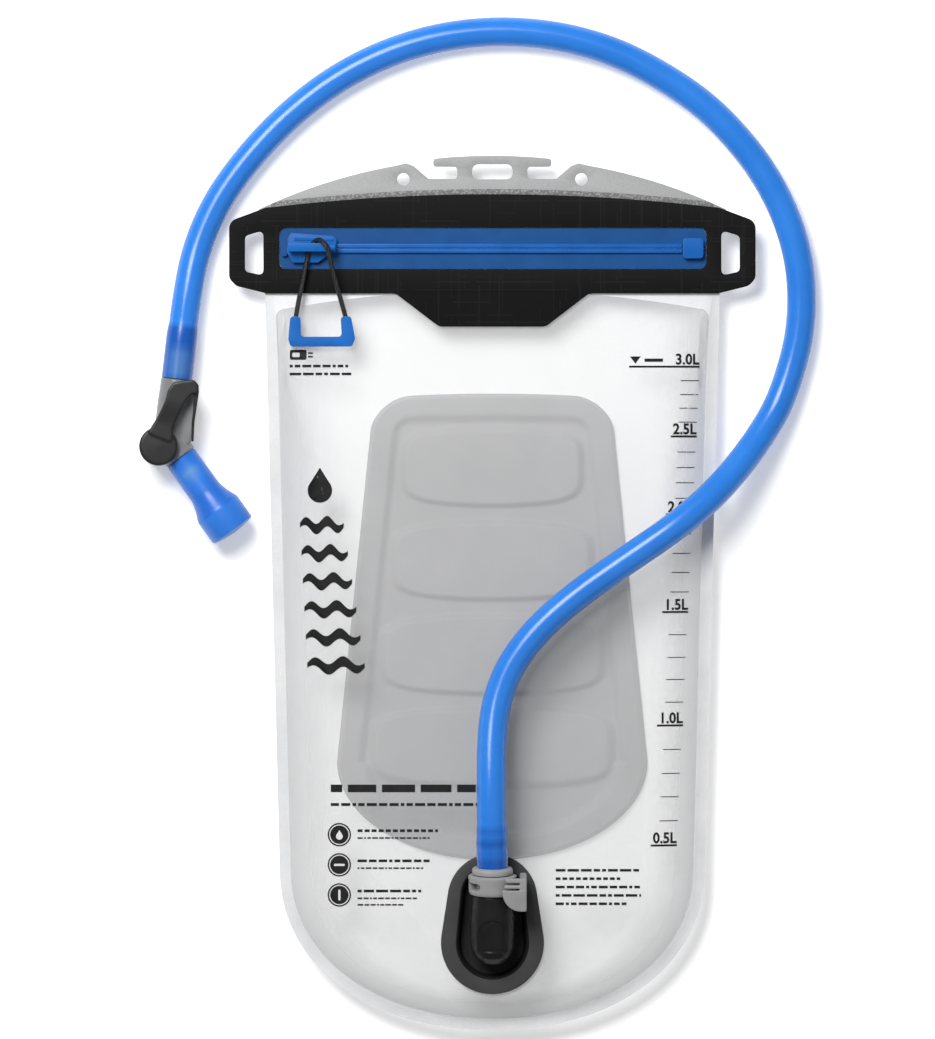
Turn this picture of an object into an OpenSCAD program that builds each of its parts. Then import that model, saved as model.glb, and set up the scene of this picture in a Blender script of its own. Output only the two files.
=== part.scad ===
// Hydration bladder: a welded film reservoir with a zip mouth, a hanger, a moulded
// back panel and a quick-release drink tube that ends in a shut-off and a bite valve.
// It lies on its back: +X right, +Y towards the hanger, +Z out of the printed front.

/* [Reservoir] */
// Half width of the film at its top edge
film_top_hw = 109.8; // [108:0.1:111]
// Half width of the film where the round bottom starts
film_low_hw = 101.8; // [100:0.1:103]
// Height of the round bottom
film_round_h = 77.4; // [77:0.1:78]
// Width of the welded edge
weld_w = 5.3; // [4:0.1:6]
// Thickness of each film
film_t = 0.8; // [0.5:0.1:0.9]
// Height of the weld plane above the ground
weld_z = 12; // [11.8:0.1:12.2]
// How far the front film swells above the weld
front_swell = 13.2; // [13:0.1:13.3]

/* [Back panel] */
// Thickness of the back panel at its rim and pads
back_t = 3; // [3:0.1:3]
// Thickness of the back panel between the pads
back_floor_t = 1.4; // [1:0.1:2]
// Width of the raised rim
back_rim_w = 11; // [8:0.5:13]

/* [Zip] */
// Thickness of the zip panel
panel_t = 1.6; // [1.2:0.1:1.8]
// Length of the window in the zip panel
window_l = 204.7; // [204:0.1:205]
// Height of the window in the zip panel
window_h = 19.9; // [19.8:0.1:20.2]
// Width of one zip rail
rail_w = 2.2; // [2:0.1:2.3]
// Height of a zip rail above its tape
rail_h = 1.6; // [1.4:0.1:1.7]
// Radius of the pull cord
pull_cord_r = 1.15; // [0.9:0.05:1.15]
// Thickness of the pull grip
grip_t = 3.2; // [2.5:0.1:3.6]

/* [Hanger] */
// Thickness of the hanger sheet
hanger_t = 1.6; // [1.2:0.1:1.6]
// Radius of the two hanging holes
hang_hole_r = 3; // [2.5:0.1:3.2]
// Distance between the two hanging holes
hang_hole_pitch = 85.2; // [82:0.1:86]

/* [Port] */
// Tilt of the tube socket out of the film plane
port_tilt = 8; // [7:0.5:9]
// Outer radius of the socket barrel
barrel_r = 10.6; // [10.4:0.1:10.7]
// Bore radius of the tube socket
socket_r = 7.9; // [7.8:0.05:8]
// Outer radius of the coupling collar
collar_r = 11.3; // [11:0.1:11.4]

/* [Drink tube] */
// Outside radius of the tube
tube_r = 7; // [6.8:0.1:7]
// Radius of the hose barbs inside the tube
barb_r = 4.8; // [4.5:0.1:5]
// Radius of the water passage through the fittings
flow_r = 3; // [2.5:0.1:3.2]

/* [Shut-off and bite valve] */
// Radius of the valve plug
plug_r = 6.5; // [6.3:0.1:6.5]
// Radius of the round end of the lever
hub_r = 9.35; // [9:0.05:9.5]
// Thickness of the lever
lever_t = 4; // [3:0.1:4.5]
// Outside radius of the bite valve's stem
bite_stem_r = 7.9; // [7.5:0.1:8.1]
// Outside radius of the bite valve's mouth
bite_mouth_r = 11.4; // [11:0.1:11.5]

/* [Hidden] */
$fn = 64;
eps = 0.01;

// Reservoir: heights and the steps of the swelling
round_y = -132;
film_top_y = 182;
flat_low_y = 126;
flange_top = weld_z + film_t;
front_z = flange_top + front_swell;
round_power = 2.12;
swell_steps = [0, 0.12, 0.25, 0.4, 0.55, 0.7, 0.85, 1];
back_z = back_t;

// Zip: centre line, window and travel
zip_y = 164.95;
window_x = 0.25;
tape_t = 0.8;
tape_z = flange_top + tape_t;
rail_gap = 0.3;
rail_top = tape_z + rail_h;
stop_x = 96;
stop_w = 9.9;
slider_left = -98.3;
slider_right = -74.6;
slider_low = 158.2;
slider_high = 172.3;
slider_z = rail_top + 1.7;
bridge_y = 165.3;
bridge_r = 2.1;
bridge_z = slider_z + 4.9;
pull_z = 18.5;

// Hanger: arcs that bound the sheet and its bar
ear_arc_r = 263;
ear_arc_y = -54.3;
bar_arc_r = 271;
bar_arc_y = -61.6;
notch_y = 198.3;

// Port: the socket turns about this point
port_y = -167;
port_z = 33.2;
tub_floor = 21;
socket_l = 24;
collar_l = 9.4;
seat_y = 12;
flange_z = 37;

// Valve: the inlet and outlet meet at an elbow
valve_z = 11.7;
hub = [-159.5, 70.2];
inlet = [-151, 102.4];
inlet_turn = -6.97;
outlet = [-149.3, 64.9];
outlet_turn = -144.4;
plug_low = 4.4;
lever_z = 20.5;

// Route of the drink tube, from the connector to the shut-off valve
tube_route = [
    [0, -130.4, 38.4], [-0.2, -118, 40], [-0.5, -103, 40.9], [-0.5, -88, 40],
    [-0.4, -74, 37.8], [0.7, -60, 35.4], [3.6, -47, 33.9], [9, -34.5, 33.4],
    [17, -23, 33.4], [27.5, -11.8, 33.4], [42, 0.3, 33.4], [57, 11, 33.4],
    [71, 20.6, 33.5], [85, 30.4, 32.7], [97, 39.8, 29.8], [108, 50, 25],
    [119, 62.6, 18.6], [129, 76.5, 12.6], [137, 90.5, 8.8], [143, 107, 7.4],
    [147, 124, 7.2], [148.2, 142, 7.2], [146.5, 160, 7.2], [141.5, 178, 7.2],
    [133, 196, 7.2], [121, 213.5, 7.2], [104, 231.5, 7.2], [84, 246, 7.2],
    [60, 258.5, 7.2], [34, 266.2, 7.2], [6, 269, 7.2], [-22, 266.6, 7.2],
    [-49, 259, 7.2], [-74, 246.5, 7.2], [-96, 230, 7.2], [-115, 210.5, 7.2],
    [-131, 188.5, 7.2], [-141, 166, 7.8], [-146.3, 141, 10.4], [-151, 102.4, 11.7]
];

// ---- points and sweeps ----

// signed power, for rounded outlines
function spow(v, p) = sign(v) * pow(abs(v), p);

// points along an arc of an ellipse
function ell(c, a, b, from, to, n) =
    [for (i = [0:n]) let(t = from + (to - from) * i / n) [c[0] + a * cos(t), c[1] + b * sin(t)]];

// a closed outline between an ellipse and a rectangle
function squircle(c, a, b, p, n) =
    [for (i = [0:n - 1]) let(t = 360 * i / n) [c[0] + a * spow(cos(t), p), c[1] + b * spow(sin(t), p)]];

// a point on a smooth curve through p at segment i, 0 <= t < 1
function spline(p, i, t) =
    let(a = p[max(i - 1, 0)], b = p[i], c = p[i + 1], d = p[min(i + 2, len(p) - 1)])
    0.5 * (2 * b + (c - a) * t + (2 * a - 5 * b + 4 * c - d) * t * t
        + (3 * b - a - 3 * c + d) * t * t * t);

// the curve cut into n steps for each segment
function smooth_path(p, n) = concat(
    [for (i = [0:len(p) - 2]) for (k = [0:n - 1]) spline(p, i, k / n)],
    [p[len(p) - 1]]);

function unit(v) = v / norm(v);
function heading(p, i) = unit(p[min(i + 1, len(p) - 1)] - p[max(i - 1, 0)]);

// a side direction carried along the path with the least twist
function side_at(p, i) =
    i == 0 ? unit(cross(heading(p, 0), [1, 0.02, 0.3]))
    : let(h = heading(p, i), s = side_at(p, i - 1)) unit(s - h * (s * h));

function sweep_points(p, r, n) = [for (i = [0:len(p) - 1])
    let(h = heading(p, i), s = side_at(p, i), u = cross(h, s))
    for (k = [0:n - 1]) p[i] + r * (s * cos(360 * k / n) + u * sin(360 * k / n))];

module sweep(p, r, n) {
    m = len(p);
    polyhedron(
        points = sweep_points(p, r, n),
        faces = concat(
            [[for (k = [0:n - 1]) k]],
            [for (i = [0:m - 2]) for (k = [0:n - 1])
                [i * n + k, (i + 1) * n + k, (i + 1) * n + (k + 1) % n]],
            [for (i = [0:m - 2]) for (k = [0:n - 1])
                [i * n + k, (i + 1) * n + (k + 1) % n, i * n + (k + 1) % n]],
            [[for (k = [0:n - 1]) m * n - 1 - k]]));
}

// ---- film shells ----

// half width of the film at height y
function film_hw(y) =
    film_low_hw + (film_top_hw - film_low_hw) * (y - round_y) / (film_top_y - round_y);

// one closed ring of the film, set in by side and low, with its top edge at top_y
function film_ring(side, low, top_y, corner) = let(
    rights = concat(
        ell([film_hw(top_y) - side - corner, top_y - corner], corner, corner, 90, 0, 4),
        [for (i = [1:5]) let(y = top_y - corner + (round_y - top_y + corner) * i / 6)
            [film_hw(y) - side, y]],
        [for (i = [0:12]) let(t = i * 90 / 12)
            [(film_low_hw - side) * spow(cos(t), 2 / round_power),
                round_y - (film_round_h - low) * spow(sin(t), 2 / round_power)]]))
    concat(rights, [for (i = [1:len(rights) - 1]) let(q = rights[len(rights) - 1 - i]) [-q[0], q[1]]]);

// a shell of thickness t above the rings, each [outline, height]
module ring_shell(rings, t) {
    n = len(rings[0][0]);
    m = len(rings);
    top = [for (r = rings) for (q = r[0]) [q[0], q[1], r[1] + t]];
    low = [for (r = rings) for (q = r[0]) [q[0], q[1], r[1]]];
    half = n * m;
    polyhedron(
        points = concat(top, low),
        faces = concat(
            [for (i = [0:m - 2]) for (k = [0:n - 1])
                [i * n + k, i * n + (k + 1) % n, (i + 1) * n + (k + 1) % n]],
            [for (i = [0:m - 2]) for (k = [0:n - 1])
                [i * n + k, (i + 1) * n + (k + 1) % n, (i + 1) * n + k]],
            [for (i = [0:m - 2]) for (k = [0:n - 1])
                [half + i * n + k, half + (i + 1) * n + (k + 1) % n, half + i * n + (k + 1) % n]],
            [for (i = [0:m - 2]) for (k = [0:n - 1])
                [half + i * n + k, half + (i + 1) * n + k, half + (i + 1) * n + (k + 1) % n]],
            [for (k = [0:n - 1]) [k, half + k, half + (k + 1) % n]],
            [for (k = [0:n - 1]) [k, half + (k + 1) % n, (k + 1) % n]],
            [[for (k = [0:n - 1]) (m - 1) * n + k]],
            [[for (k = [0:n - 1]) half + m * n - 1 - k]]));
}

// ---- flat outlines ----

// two circles on the Y axis joined by their tangents, the larger one below
module teardrop(r_high, y_high, r_low, y_low) {
    slant = asin((r_low - r_high) / (y_high - y_low));
    normal = [cos(slant), sin(slant)];
    high = [r_high * normal[0], y_high + r_high * normal[1]];
    low = [r_low * normal[0], y_low + r_low * normal[1]];
    translate([0, y_high]) circle(r = r_high);
    translate([0, y_low]) circle(r = r_low);
    polygon([high, low, [-low[0], low[1]], [-high[0], high[1]]]);
}

// a rectangle with round corners, centred
module round_rect(w, h, r) {
    square([w - 2 * r, h], center = true);
    square([w, h - 2 * r], center = true);
    for (x = [-1, 1]) for (y = [-1, 1])
        translate([x * (w / 2 - r), y * (h / 2 - r)]) circle(r = r);
}

// raises each flat shape to height t
module slabs(t) {
    for (i = [0:$children - 1])
        linear_extrude(t) children(i);
}

// the same shape on both sides of the Y axis
module both_sides() {
    children();
    mirror([1, 0, 0]) children();
}

// a ring of round section about the Y axis
module o_ring(ring_r, r, y) {
    translate([0, y, 0]) rotate([-90, 0, 0]) rotate_extrude() translate([ring_r, 0]) circle(r = r, $fn = 24);
}

// a rod along Y from y0 to y1
module rod_y(r, y0, y1) {
    translate([0, y0, 0]) rotate([-90, 0, 0]) cylinder(r = r, h = y1 - y0);
}

// a box from its low corner to its high corner
module block(low, high) {
    translate(low) cube(high - low);
}

// moves pieces from the socket's own axes to the reservoir's
module at_port() {
    translate([0, port_y, port_z]) rotate([port_tilt, 0, 0]) children();
}

// ---- reservoir ----

module front_film() color([0.94, 0.95, 0.96, 0.5]) difference() {
    ring_shell(concat(
        [[film_ring(0, 0, film_top_y, 8), weld_z]],
        [for (f = swell_steps) [
            film_ring(weld_w + 24 * f, weld_w + 12.7 * f, flat_low_y - 66 * f, 14 + 8 * f),
            weld_z + front_swell * sin(90 * f)]]), film_t);
    translate([window_x, zip_y, weld_z - 1]) linear_extrude(4) round_rect(196, 16, 6);
    translate([0, 0, weld_z + 5]) linear_extrude(15) teardrop(15.2, -144.5, 17.6, port_y);
}

module rear_film() color([0.92, 0.93, 0.94, 0.5])
    ring_shell(concat(
        [[film_ring(0, 0, film_top_y, 8), weld_z - film_t]],
        [for (f = swell_steps) [
            film_ring(weld_w + 20 * f, weld_w + 20 * f, film_top_y - weld_w - 8 * f, 8 + 6 * f),
            weld_z - film_t - (weld_z - film_t - back_z) * sin(90 * f)]]), film_t);

// outline of the back panel, set in by inset
function back_outline(inset) = concat(
    ell([42.7, 79.6], 16 - inset, 16 - inset, 90, 0, 6),
    ell([0, -81], 74.5 - inset, 47.3 - inset, 0, -180, 28),
    ell([-42.7, 79.6], 16 - inset, 16 - inset, 180, 90, 6));

module back_panel() color([0.62, 0.63, 0.65]) {
    linear_extrude(back_floor_t) polygon(back_outline(0));
    translate([0, 0, back_floor_t - eps]) linear_extrude(back_t - back_floor_t + eps) {
        difference() {
            polygon(back_outline(0));
            polygon(back_outline(back_rim_w));
        }
        for (pad = [[43.7, 61, 18], [45.8, 16.5, 17.5], [50, -28.5, 17.5], [55, -74, 18]])
            polygon(squircle([0, pad[1]], pad[0], pad[2], 0.35, 48));
    }
}

module panel_outline() {
    intersection() {
        translate([0, 190.9 - 900]) circle(r = 900, $fn = 256);
        polygon([[-112, 143.5], [112, 143.5], [112, 200], [-112, 200]]);
    }
    both_sides() {
        polygon([[109, 143.5], [123, 147.3], [126, 151], [126, 175], [123.6, 178.9], [109, 184.2]]);
        polygon([[0, 127.5], [24, 127.5], [27, 128.6], [44, 141.8], [49, 143.6], [0, 143.6]]);
    }
}

module tab_slot() {
    polygon([[109.6, 155], [111.2, 152.4], [116.8, 154], [118.4, 156], [118.4, 169],
        [117, 171], [111.2, 173.2], [109.6, 171.5]]);
}

module zip_panel() color([0.08, 0.08, 0.08])
    translate([0, 0, flange_top]) linear_extrude(panel_t) difference() {
        panel_outline();
        translate([window_x, zip_y]) round_rect(window_l, window_h, 3.5);
        both_sides() tab_slot();
    }

// one tape, on the side given by way
module zip_tape(way) {
    translate([window_x, zip_y, flange_top]) linear_extrude(tape_t) intersection() {
        round_rect(window_l - 0.4, window_h - 0.4, 3.3);
        translate([0, way * (10 + rail_gap / 2)]) square([240, 20], center = true);
    }
}

module zip_tape_upper() color([0.12, 0.32, 0.6]) zip_tape(1);
module zip_tape_lower() color([0.12, 0.32, 0.6]) zip_tape(-1);

module zip_rail(way) {
    rail_y = zip_y + way * (rail_gap + rail_w) / 2;
    block([slider_left, rail_y - rail_w / 2, tape_z], [stop_x - stop_w / 2, rail_y + rail_w / 2, rail_top]);
}

module zip_rail_upper() color([0.13, 0.42, 0.74]) zip_rail(1);
module zip_rail_lower() color([0.13, 0.42, 0.74]) zip_rail(-1);

module zip_end_stop() color([0.13, 0.42, 0.74])
    translate([stop_x, zip_y, tape_z]) linear_extrude(3.6) round_rect(stop_w, 9.7, 1.8);

module zip_start_stop() color([0.13, 0.42, 0.74])
    translate([slider_left - 1.3, zip_y, tape_z]) linear_extrude(rail_h + 0.8) round_rect(2.6, 7.6, 1);

module hanger_sheet() color([0.74, 0.75, 0.76])
    translate([0, 0, flange_top - hanger_t]) difference() {
        slabs(hanger_t) {
            intersection() {
                translate([0, ear_arc_y]) circle(r = ear_arc_r, $fn = 200);
                union() {
                    translate([-112, film_top_y]) square([224, notch_y - film_top_y]);
                    both_sides() polygon([[30, notch_y - eps], [38.1, 204.6], [40.5, 206], [112, 206],
                        [112, notch_y - eps]]);
                }
            }
            intersection() {
                translate([0, bar_arc_y]) circle(r = bar_arc_r, $fn = 200);
                translate([-28.5, 204]) square([57, 6]);
            }
            translate([9.7, notch_y - 3]) square([6.9, 9.5]);
            translate([-16.6, notch_y - 3]) square([6.9, 9.5]);
        }
        translate([0, 0, -1]) slabs(hanger_t + 2) {
            both_sides() translate([hang_hole_pitch / 2, 198.1]) circle(r = hang_hole_r);
            translate([0, 201.7]) round_rect(19.4, 7.2, 3.4);
        }
    }

// ---- port and coupling ----

module port_flange() color([0.27, 0.27, 0.27]) difference() {
    union() {
        translate([0, 0, front_z]) linear_extrude(1.6) teardrop(21.4, -145.8, 24.6, -166.8);
        translate([0, 0, tub_floor - 1.5]) linear_extrude(front_z - tub_floor + 1.6)
            teardrop(15, -144.5, 17.4, port_y);
    }
    translate([0, 0, tub_floor]) linear_extrude(20) teardrop(13.7, -144.5, 15.7, port_y);
    translate([0, port_y, tub_floor - 2]) cylinder(r = 4.5, h = 3);
}

module port_elbow() color([0.14, 0.14, 0.14]) difference() {
    union() {
        translate([0, port_y, tub_floor]) cylinder(r = 8.6, h = port_z - tub_floor);
        at_port() rod_y(barrel_r, 0, socket_l);
        at_port() sphere(r = barrel_r);
    }
    translate([0, port_y, tub_floor - 1]) cylinder(r = 4.5, h = port_z - tub_floor + 1);
    at_port() rod_y(6.6, -4, 10.5);
    at_port() rod_y(5, 0, seat_y);
    at_port() rod_y(socket_r, seat_y - eps, socket_l + 1);
    at_port() intersection() {
        block([-6.7, -1.5, 0], [6.7, 12.5, 20]);
        difference() {
            rod_y(20, -2, 13);
            rod_y(barrel_r - 0.7, -3, 14);
        }
    }
}

module coupling_collar() color([0.62, 0.62, 0.63]) at_port() difference() {
    union() {
        rod_y(collar_r, socket_l, socket_l + collar_l);
        block([3, socket_l + 2.2, 8.5], [9.4, socket_l + 8.4, 11.6]);
    }
    rod_y(socket_r, socket_l - 1, socket_l + collar_l + 1);
    // window that shows the latch
    for (x = [-9.8, -8.4])
        translate([x, socket_l + 4.6, 0]) cylinder(r = 1.5, h = 12);
    // pocket for the button's spring
    translate([9.4, socket_l + 5.4, 0]) rotate([0, 90, 0]) cylinder(r = 2.3, h = 4);
}

module button_spring() color([0.75, 0.75, 0.77]) at_port()
    translate([0, socket_l + 5.4, 0])
        sweep([for (i = [0:36]) [9.75 + 2.85 * i / 36, 1.7 * cos(30 * i), 1.7 * sin(30 * i)]], 0.3, 6);

module poppet_spring() color([0.75, 0.75, 0.77]) at_port()
    sweep([for (i = [0:48]) [3.2 * cos(30 * i), -3.55 + 6.75 * i / 48, 3.2 * sin(30 * i)]], 0.35, 6);

module release_button() color([0.64, 0.64, 0.65]) at_port() {
    translate([0, 0, 11.8]) linear_extrude(2.6) {
        translate([9.5, 29]) square([6.7, 3.6]);
        translate([13, 16.4]) square([3.2, 14]);
        translate([4.6, 26.8]) square([10, 1.9]);
        intersection() {
            translate([13.3, 25.4]) circle(r = 8.9);
            translate([4.4, 16.4]) square([11.8, 9]);
        }
    }
    block([13, 16.4, -4], [16.2, 32.6, 11.9]);
}

module poppet() color([0.8, 0.3, 0.1]) at_port() difference() {
    union() {
        rod_y(6.3, 3.6, 6.2);
        rod_y(2.4, 6, seat_y - 0.1);
        rod_y(1.5, -2, 4);
    }
    for (a = [45:90:315])
        rotate([0, a, 0]) translate([0, 3, 4]) rotate([-90, 0, 0]) cylinder(r = 1, h = 4, $fn = 24);
}

module poppet_seal() color([0.1, 0.1, 0.1]) at_port() difference() {
    rod_y(6.2, 6.2, 6.7);
    rod_y(5.2, 6, 7);
}

// ---- drink tube ----

module hose_connector() color([0.66, 0.66, 0.67]) at_port() difference() {
    union() {
        rod_y(socket_r - 0.05, seat_y + 0.1, flange_z);
        rod_y(9.8, socket_l + collar_l + 0.2, flange_z);
        rod_y(barb_r, flange_z - 1, flange_z + 17);
    }
    rod_y(flow_r, 0, flange_z + 20);
    for (y = [16, 20]) difference() {
        rod_y(9, y - 0.7, y + 0.7);
        rod_y(6.75, y - 1, y + 1);
    }
}

module connector_o_rings() color([0.1, 0.1, 0.1]) at_port()
    for (y = [16, 20]) o_ring(7.3, 0.5, y);

module drink_tube() color([0.2, 0.5, 0.92]) sweep(smooth_path(tube_route, 2), tube_r, 12);

// moves pieces from an axis along Y to the valve's inlet or outlet
module at_inlet() {
    translate([inlet[0], inlet[1], valve_z]) rotate([0, 0, inlet_turn]) children();
}

module at_outlet() {
    translate([outlet[0], outlet[1], valve_z]) rotate([0, 0, outlet_turn]) children();
}

module valve_body() color([0.66, 0.67, 0.68]) difference() {
    union() {
        at_inlet() rod_y(7.7, -29, 0);
        at_inlet() rod_y(barb_r, -1, 18);
        at_outlet() rod_y(8.3, -9.6, 0);
        at_outlet() rod_y(5, -1, 16);
        translate([hub[0], hub[1], plug_low - 1.6]) cylinder(r = 8.8, h = lever_z - plug_low + 0.9);
    }
    at_inlet() rod_y(flow_r, -29, 20);
    at_outlet() rod_y(flow_r, -9, 20);
    translate([hub[0], hub[1], plug_low]) cylinder(r = plug_r + 0.05, h = 30);
    // room under the lever
    block([-190, 50, lever_z - 0.3], [-130, 110, 40]);
}

// ---- shut-off lever and bite valve ----

module valve_plug() color([0.85, 0.85, 0.82]) difference() {
    translate([hub[0], hub[1], plug_low + 0.1]) cylinder(r = plug_r, h = lever_z - plug_low - 0.1);
    translate([-154.6, 72.4, valve_z - 3.5]) cylinder(r = 3.6, h = 7);
    for (z = [6.6, 17.6]) translate([hub[0], hub[1], z - 0.6]) difference() {
        cylinder(r = 9, h = 1.2);
        cylinder(r = plug_r - 1, h = 1.2);
    }
}

module plug_o_rings() color([0.1, 0.1, 0.1])
    for (z = [6.6, 17.6]) translate([hub[0], hub[1], z])
        rotate_extrude() translate([plug_r - 0.5, 0]) circle(r = 0.5, $fn = 24);

module shutoff_lever() color([0.16, 0.16, 0.16])
    translate([0, 0, lever_z]) slabs(lever_t) {
        translate(hub) circle(r = hub_r);
        polygon([[-162.5, 75], [-163, 80.5], [-158.3, 87.7], [-154.9, 97.6], [-152.5, 100.5],
            [-143.8, 102], [-140.9, 100], [-140, 96.5], [-145, 92.5], [-149.6, 78], [-153, 71]]);
        polygon([[-140, 97], [-141.5, 87.7], [-142.3, 81.3], [-142.6, 72.5], [-143.8, 72.5],
            [-143.6, 81.3], [-142.8, 87.7], [-142.4, 96]]);
    }

module bite_valve() color([0.2, 0.48, 0.88]) at_outlet() rotate([-90, 0, 0]) difference() {
    rotate_extrude() polygon([[0, 0.1], [bite_stem_r, 0.1], [bite_stem_r, 22], [bite_mouth_r, 30.5],
        [bite_mouth_r, 42.4], [10.6, 43.2], [6, 44], [0, 44.4]]);
    cylinder(r = 5.05, h = 17);
    translate([0, 0, 16]) cylinder(r = 3.4, h = 24);
}

// ---- zip slider and its pull ----

module slider_body() color([0.13, 0.45, 0.8]) {
    translate([0, 0, rail_top + 0.2]) linear_extrude(slider_z - rail_top - 0.2)
        polygon([[slider_left, 161], [slider_left + 2.2, slider_low], [slider_right - 1.5, slider_low],
            [slider_right, 160], [slider_right, 171], [slider_right - 1.2, slider_high],
            [slider_left + 2.5, slider_high], [slider_left, 169.8]]);
    block([slider_left + 1, slider_low + 1, tape_z + 0.2], [slider_right - 1, zip_y - 2.85, rail_top + 0.3]);
    block([slider_left + 1, zip_y + 2.85, tape_z + 0.2], [slider_right - 1, slider_high - 1, rail_top + 0.3]);
}

module slider_bridge() color([0.15, 0.48, 0.84]) {
    translate([slider_left + 0.6, bridge_y, bridge_z]) rotate([0, 90, 0])
        cylinder(r = bridge_r, h = slider_right - slider_left - 0.6);
    block([slider_left + 0.6, bridge_y - bridge_r, slider_z],
        [slider_left + 3.6, bridge_y + bridge_r, bridge_z]);
    block([slider_right - 2, bridge_y - bridge_r, slider_z],
        [slider_right, bridge_y + bridge_r, bridge_z]);
}

// path of the pull cord: one turn around the bridge between its two legs
turn_r = 3.55;
pull_path = concat(
    [[-94.3, 130, pull_z], [-92.6, 140, pull_z - 0.1], [-90.5, 150, pull_z - 0.2],
        [-88.6, 160, bridge_z - turn_r - 0.2]],
    [for (a = [-90:30:90])
        [-87.2 + 8.2 * (a + 90) / 180, bridge_y + turn_r * cos(a), bridge_z + turn_r * sin(a)]],
    [[-77.5, 159.5, bridge_z + 2.7], [-75.2, 150, bridge_z + 0.7], [-72.4, 140, pull_z + 1.6],
        [-69.6, 130, pull_z]]);

module pull_cord() color([0.08, 0.08, 0.08]) sweep(smooth_path(pull_path, 2), pull_cord_r, 8);

module pull_grip() color([0.13, 0.42, 0.75])
    translate([0, 0, pull_z - grip_t / 2]) linear_extrude(grip_t) {
        polygon([[-96.4, 132.1], [-97.4, 121], [-96, 118.9], [-93.5, 118.2], [-69.6, 118.2],
            [-67.1, 118.9], [-65.7, 121], [-66.7, 132.1], [-71.4, 132.1], [-71.4, 124.6],
            [-73.4, 122.4], [-90.1, 122.4], [-92.1, 124.6], [-92.1, 132.1]]);
    }

front_film();
rear_film();
back_panel();
zip_panel();
zip_tape_upper();
zip_tape_lower();
zip_rail_upper();
zip_rail_lower();
zip_end_stop();
zip_start_stop();
hanger_sheet();
port_flange();
port_elbow();
coupling_collar();
button_spring();
poppet_spring();
slider_body();
slider_bridge();
pull_cord();
pull_grip();
release_button();
poppet();
poppet_seal();
hose_connector();
connector_o_rings();
drink_tube();
valve_body();
valve_plug();
plug_o_rings();
shutoff_lever();
bite_valve();
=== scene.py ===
import math
import bmesh
import bpy
from mathutils import Matrix, Vector
from mathutils.bvhtree import BVHTree


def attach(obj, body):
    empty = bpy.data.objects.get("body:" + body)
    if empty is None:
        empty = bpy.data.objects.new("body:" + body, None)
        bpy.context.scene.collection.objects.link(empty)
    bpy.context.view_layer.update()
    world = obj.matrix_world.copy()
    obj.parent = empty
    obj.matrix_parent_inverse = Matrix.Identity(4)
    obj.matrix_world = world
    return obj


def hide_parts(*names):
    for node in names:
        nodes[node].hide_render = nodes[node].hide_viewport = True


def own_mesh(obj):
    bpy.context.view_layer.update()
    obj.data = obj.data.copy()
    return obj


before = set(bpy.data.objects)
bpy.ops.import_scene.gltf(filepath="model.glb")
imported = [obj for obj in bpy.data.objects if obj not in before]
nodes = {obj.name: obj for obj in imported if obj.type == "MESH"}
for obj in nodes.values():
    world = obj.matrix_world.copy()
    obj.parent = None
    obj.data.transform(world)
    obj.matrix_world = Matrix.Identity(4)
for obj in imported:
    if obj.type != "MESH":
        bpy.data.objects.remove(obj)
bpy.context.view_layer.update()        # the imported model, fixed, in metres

mm = 0.001  # shapes below are drawn in millimetres and made metres when they are finished
scene = bpy.context.scene


# camera, light and floor

camera = {"middle": (-0.0119, 0.0352), "distance": 5.0, "tall": 0.4987}


def setCamera():
    data = bpy.data.cameras.new("camera")
    data.sensor_width = 36.0
    data.lens = data.sensor_width * camera["distance"] / camera["tall"]
    obj = bpy.data.objects.new("camera", data)
    obj.location = (*camera["middle"], camera["distance"])
    scene.collection.objects.link(obj)
    scene.camera = obj


studio = {"key": 44.5, "keySize": 0.9, "keyPlace": (-0.60, 0.98, 1.75),
          "fill": 3.0, "fillSize": 1.8, "fillPlace": (0.9, -0.7, 1.7), "sky": 0.23}


def areaLight(name, place, size, power):
    data = bpy.data.lights.new(name, "AREA")
    data.shape = "SQUARE"
    data.size = size
    data.energy = power
    obj = bpy.data.objects.new(name, data)
    obj.location = place
    aim = Vector((0, 0.03, 0))
    obj.rotation_euler = (Vector(place) - aim).to_track_quat("Z", "Y").to_euler()
    scene.collection.objects.link(obj)


def setStudio():
    areaLight("key", studio["keyPlace"], studio["keySize"], studio["key"])
    areaLight("fill", studio["fillPlace"], studio["fillSize"], studio["fill"])
    world = bpy.data.worlds.new("sky")
    world.use_nodes = True
    background = world.node_tree.nodes["Background"]
    background.inputs["Color"].default_value = (1, 1, 1, 1)
    background.inputs["Strength"].default_value = studio["sky"]
    scene.world = world
    scene.view_settings.view_transform = "Standard"


# materials

def startMaterial(name):
    mat = bpy.data.materials.new(name)
    mat.use_nodes = True
    tree = mat.node_tree
    shader = tree.nodes["Principled BSDF"]
    where = tree.nodes.new("ShaderNodeTexCoord")
    return mat, tree, shader, where.outputs["Object"]


def noiseNode(tree, where, scale, detail=3.0, roughness=0.55, stretch=None):
    noise = tree.nodes.new("ShaderNodeTexNoise")
    noise.inputs["Scale"].default_value = scale
    noise.inputs["Detail"].default_value = detail
    noise.inputs["Roughness"].default_value = roughness
    if stretch:
        mapping = tree.nodes.new("ShaderNodeMapping")
        mapping.inputs["Scale"].default_value = stretch
        tree.links.new(where, mapping.inputs["Vector"])
        where = mapping.outputs["Vector"]
    tree.links.new(where, noise.inputs["Vector"])
    return noise.outputs["Fac"]


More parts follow.
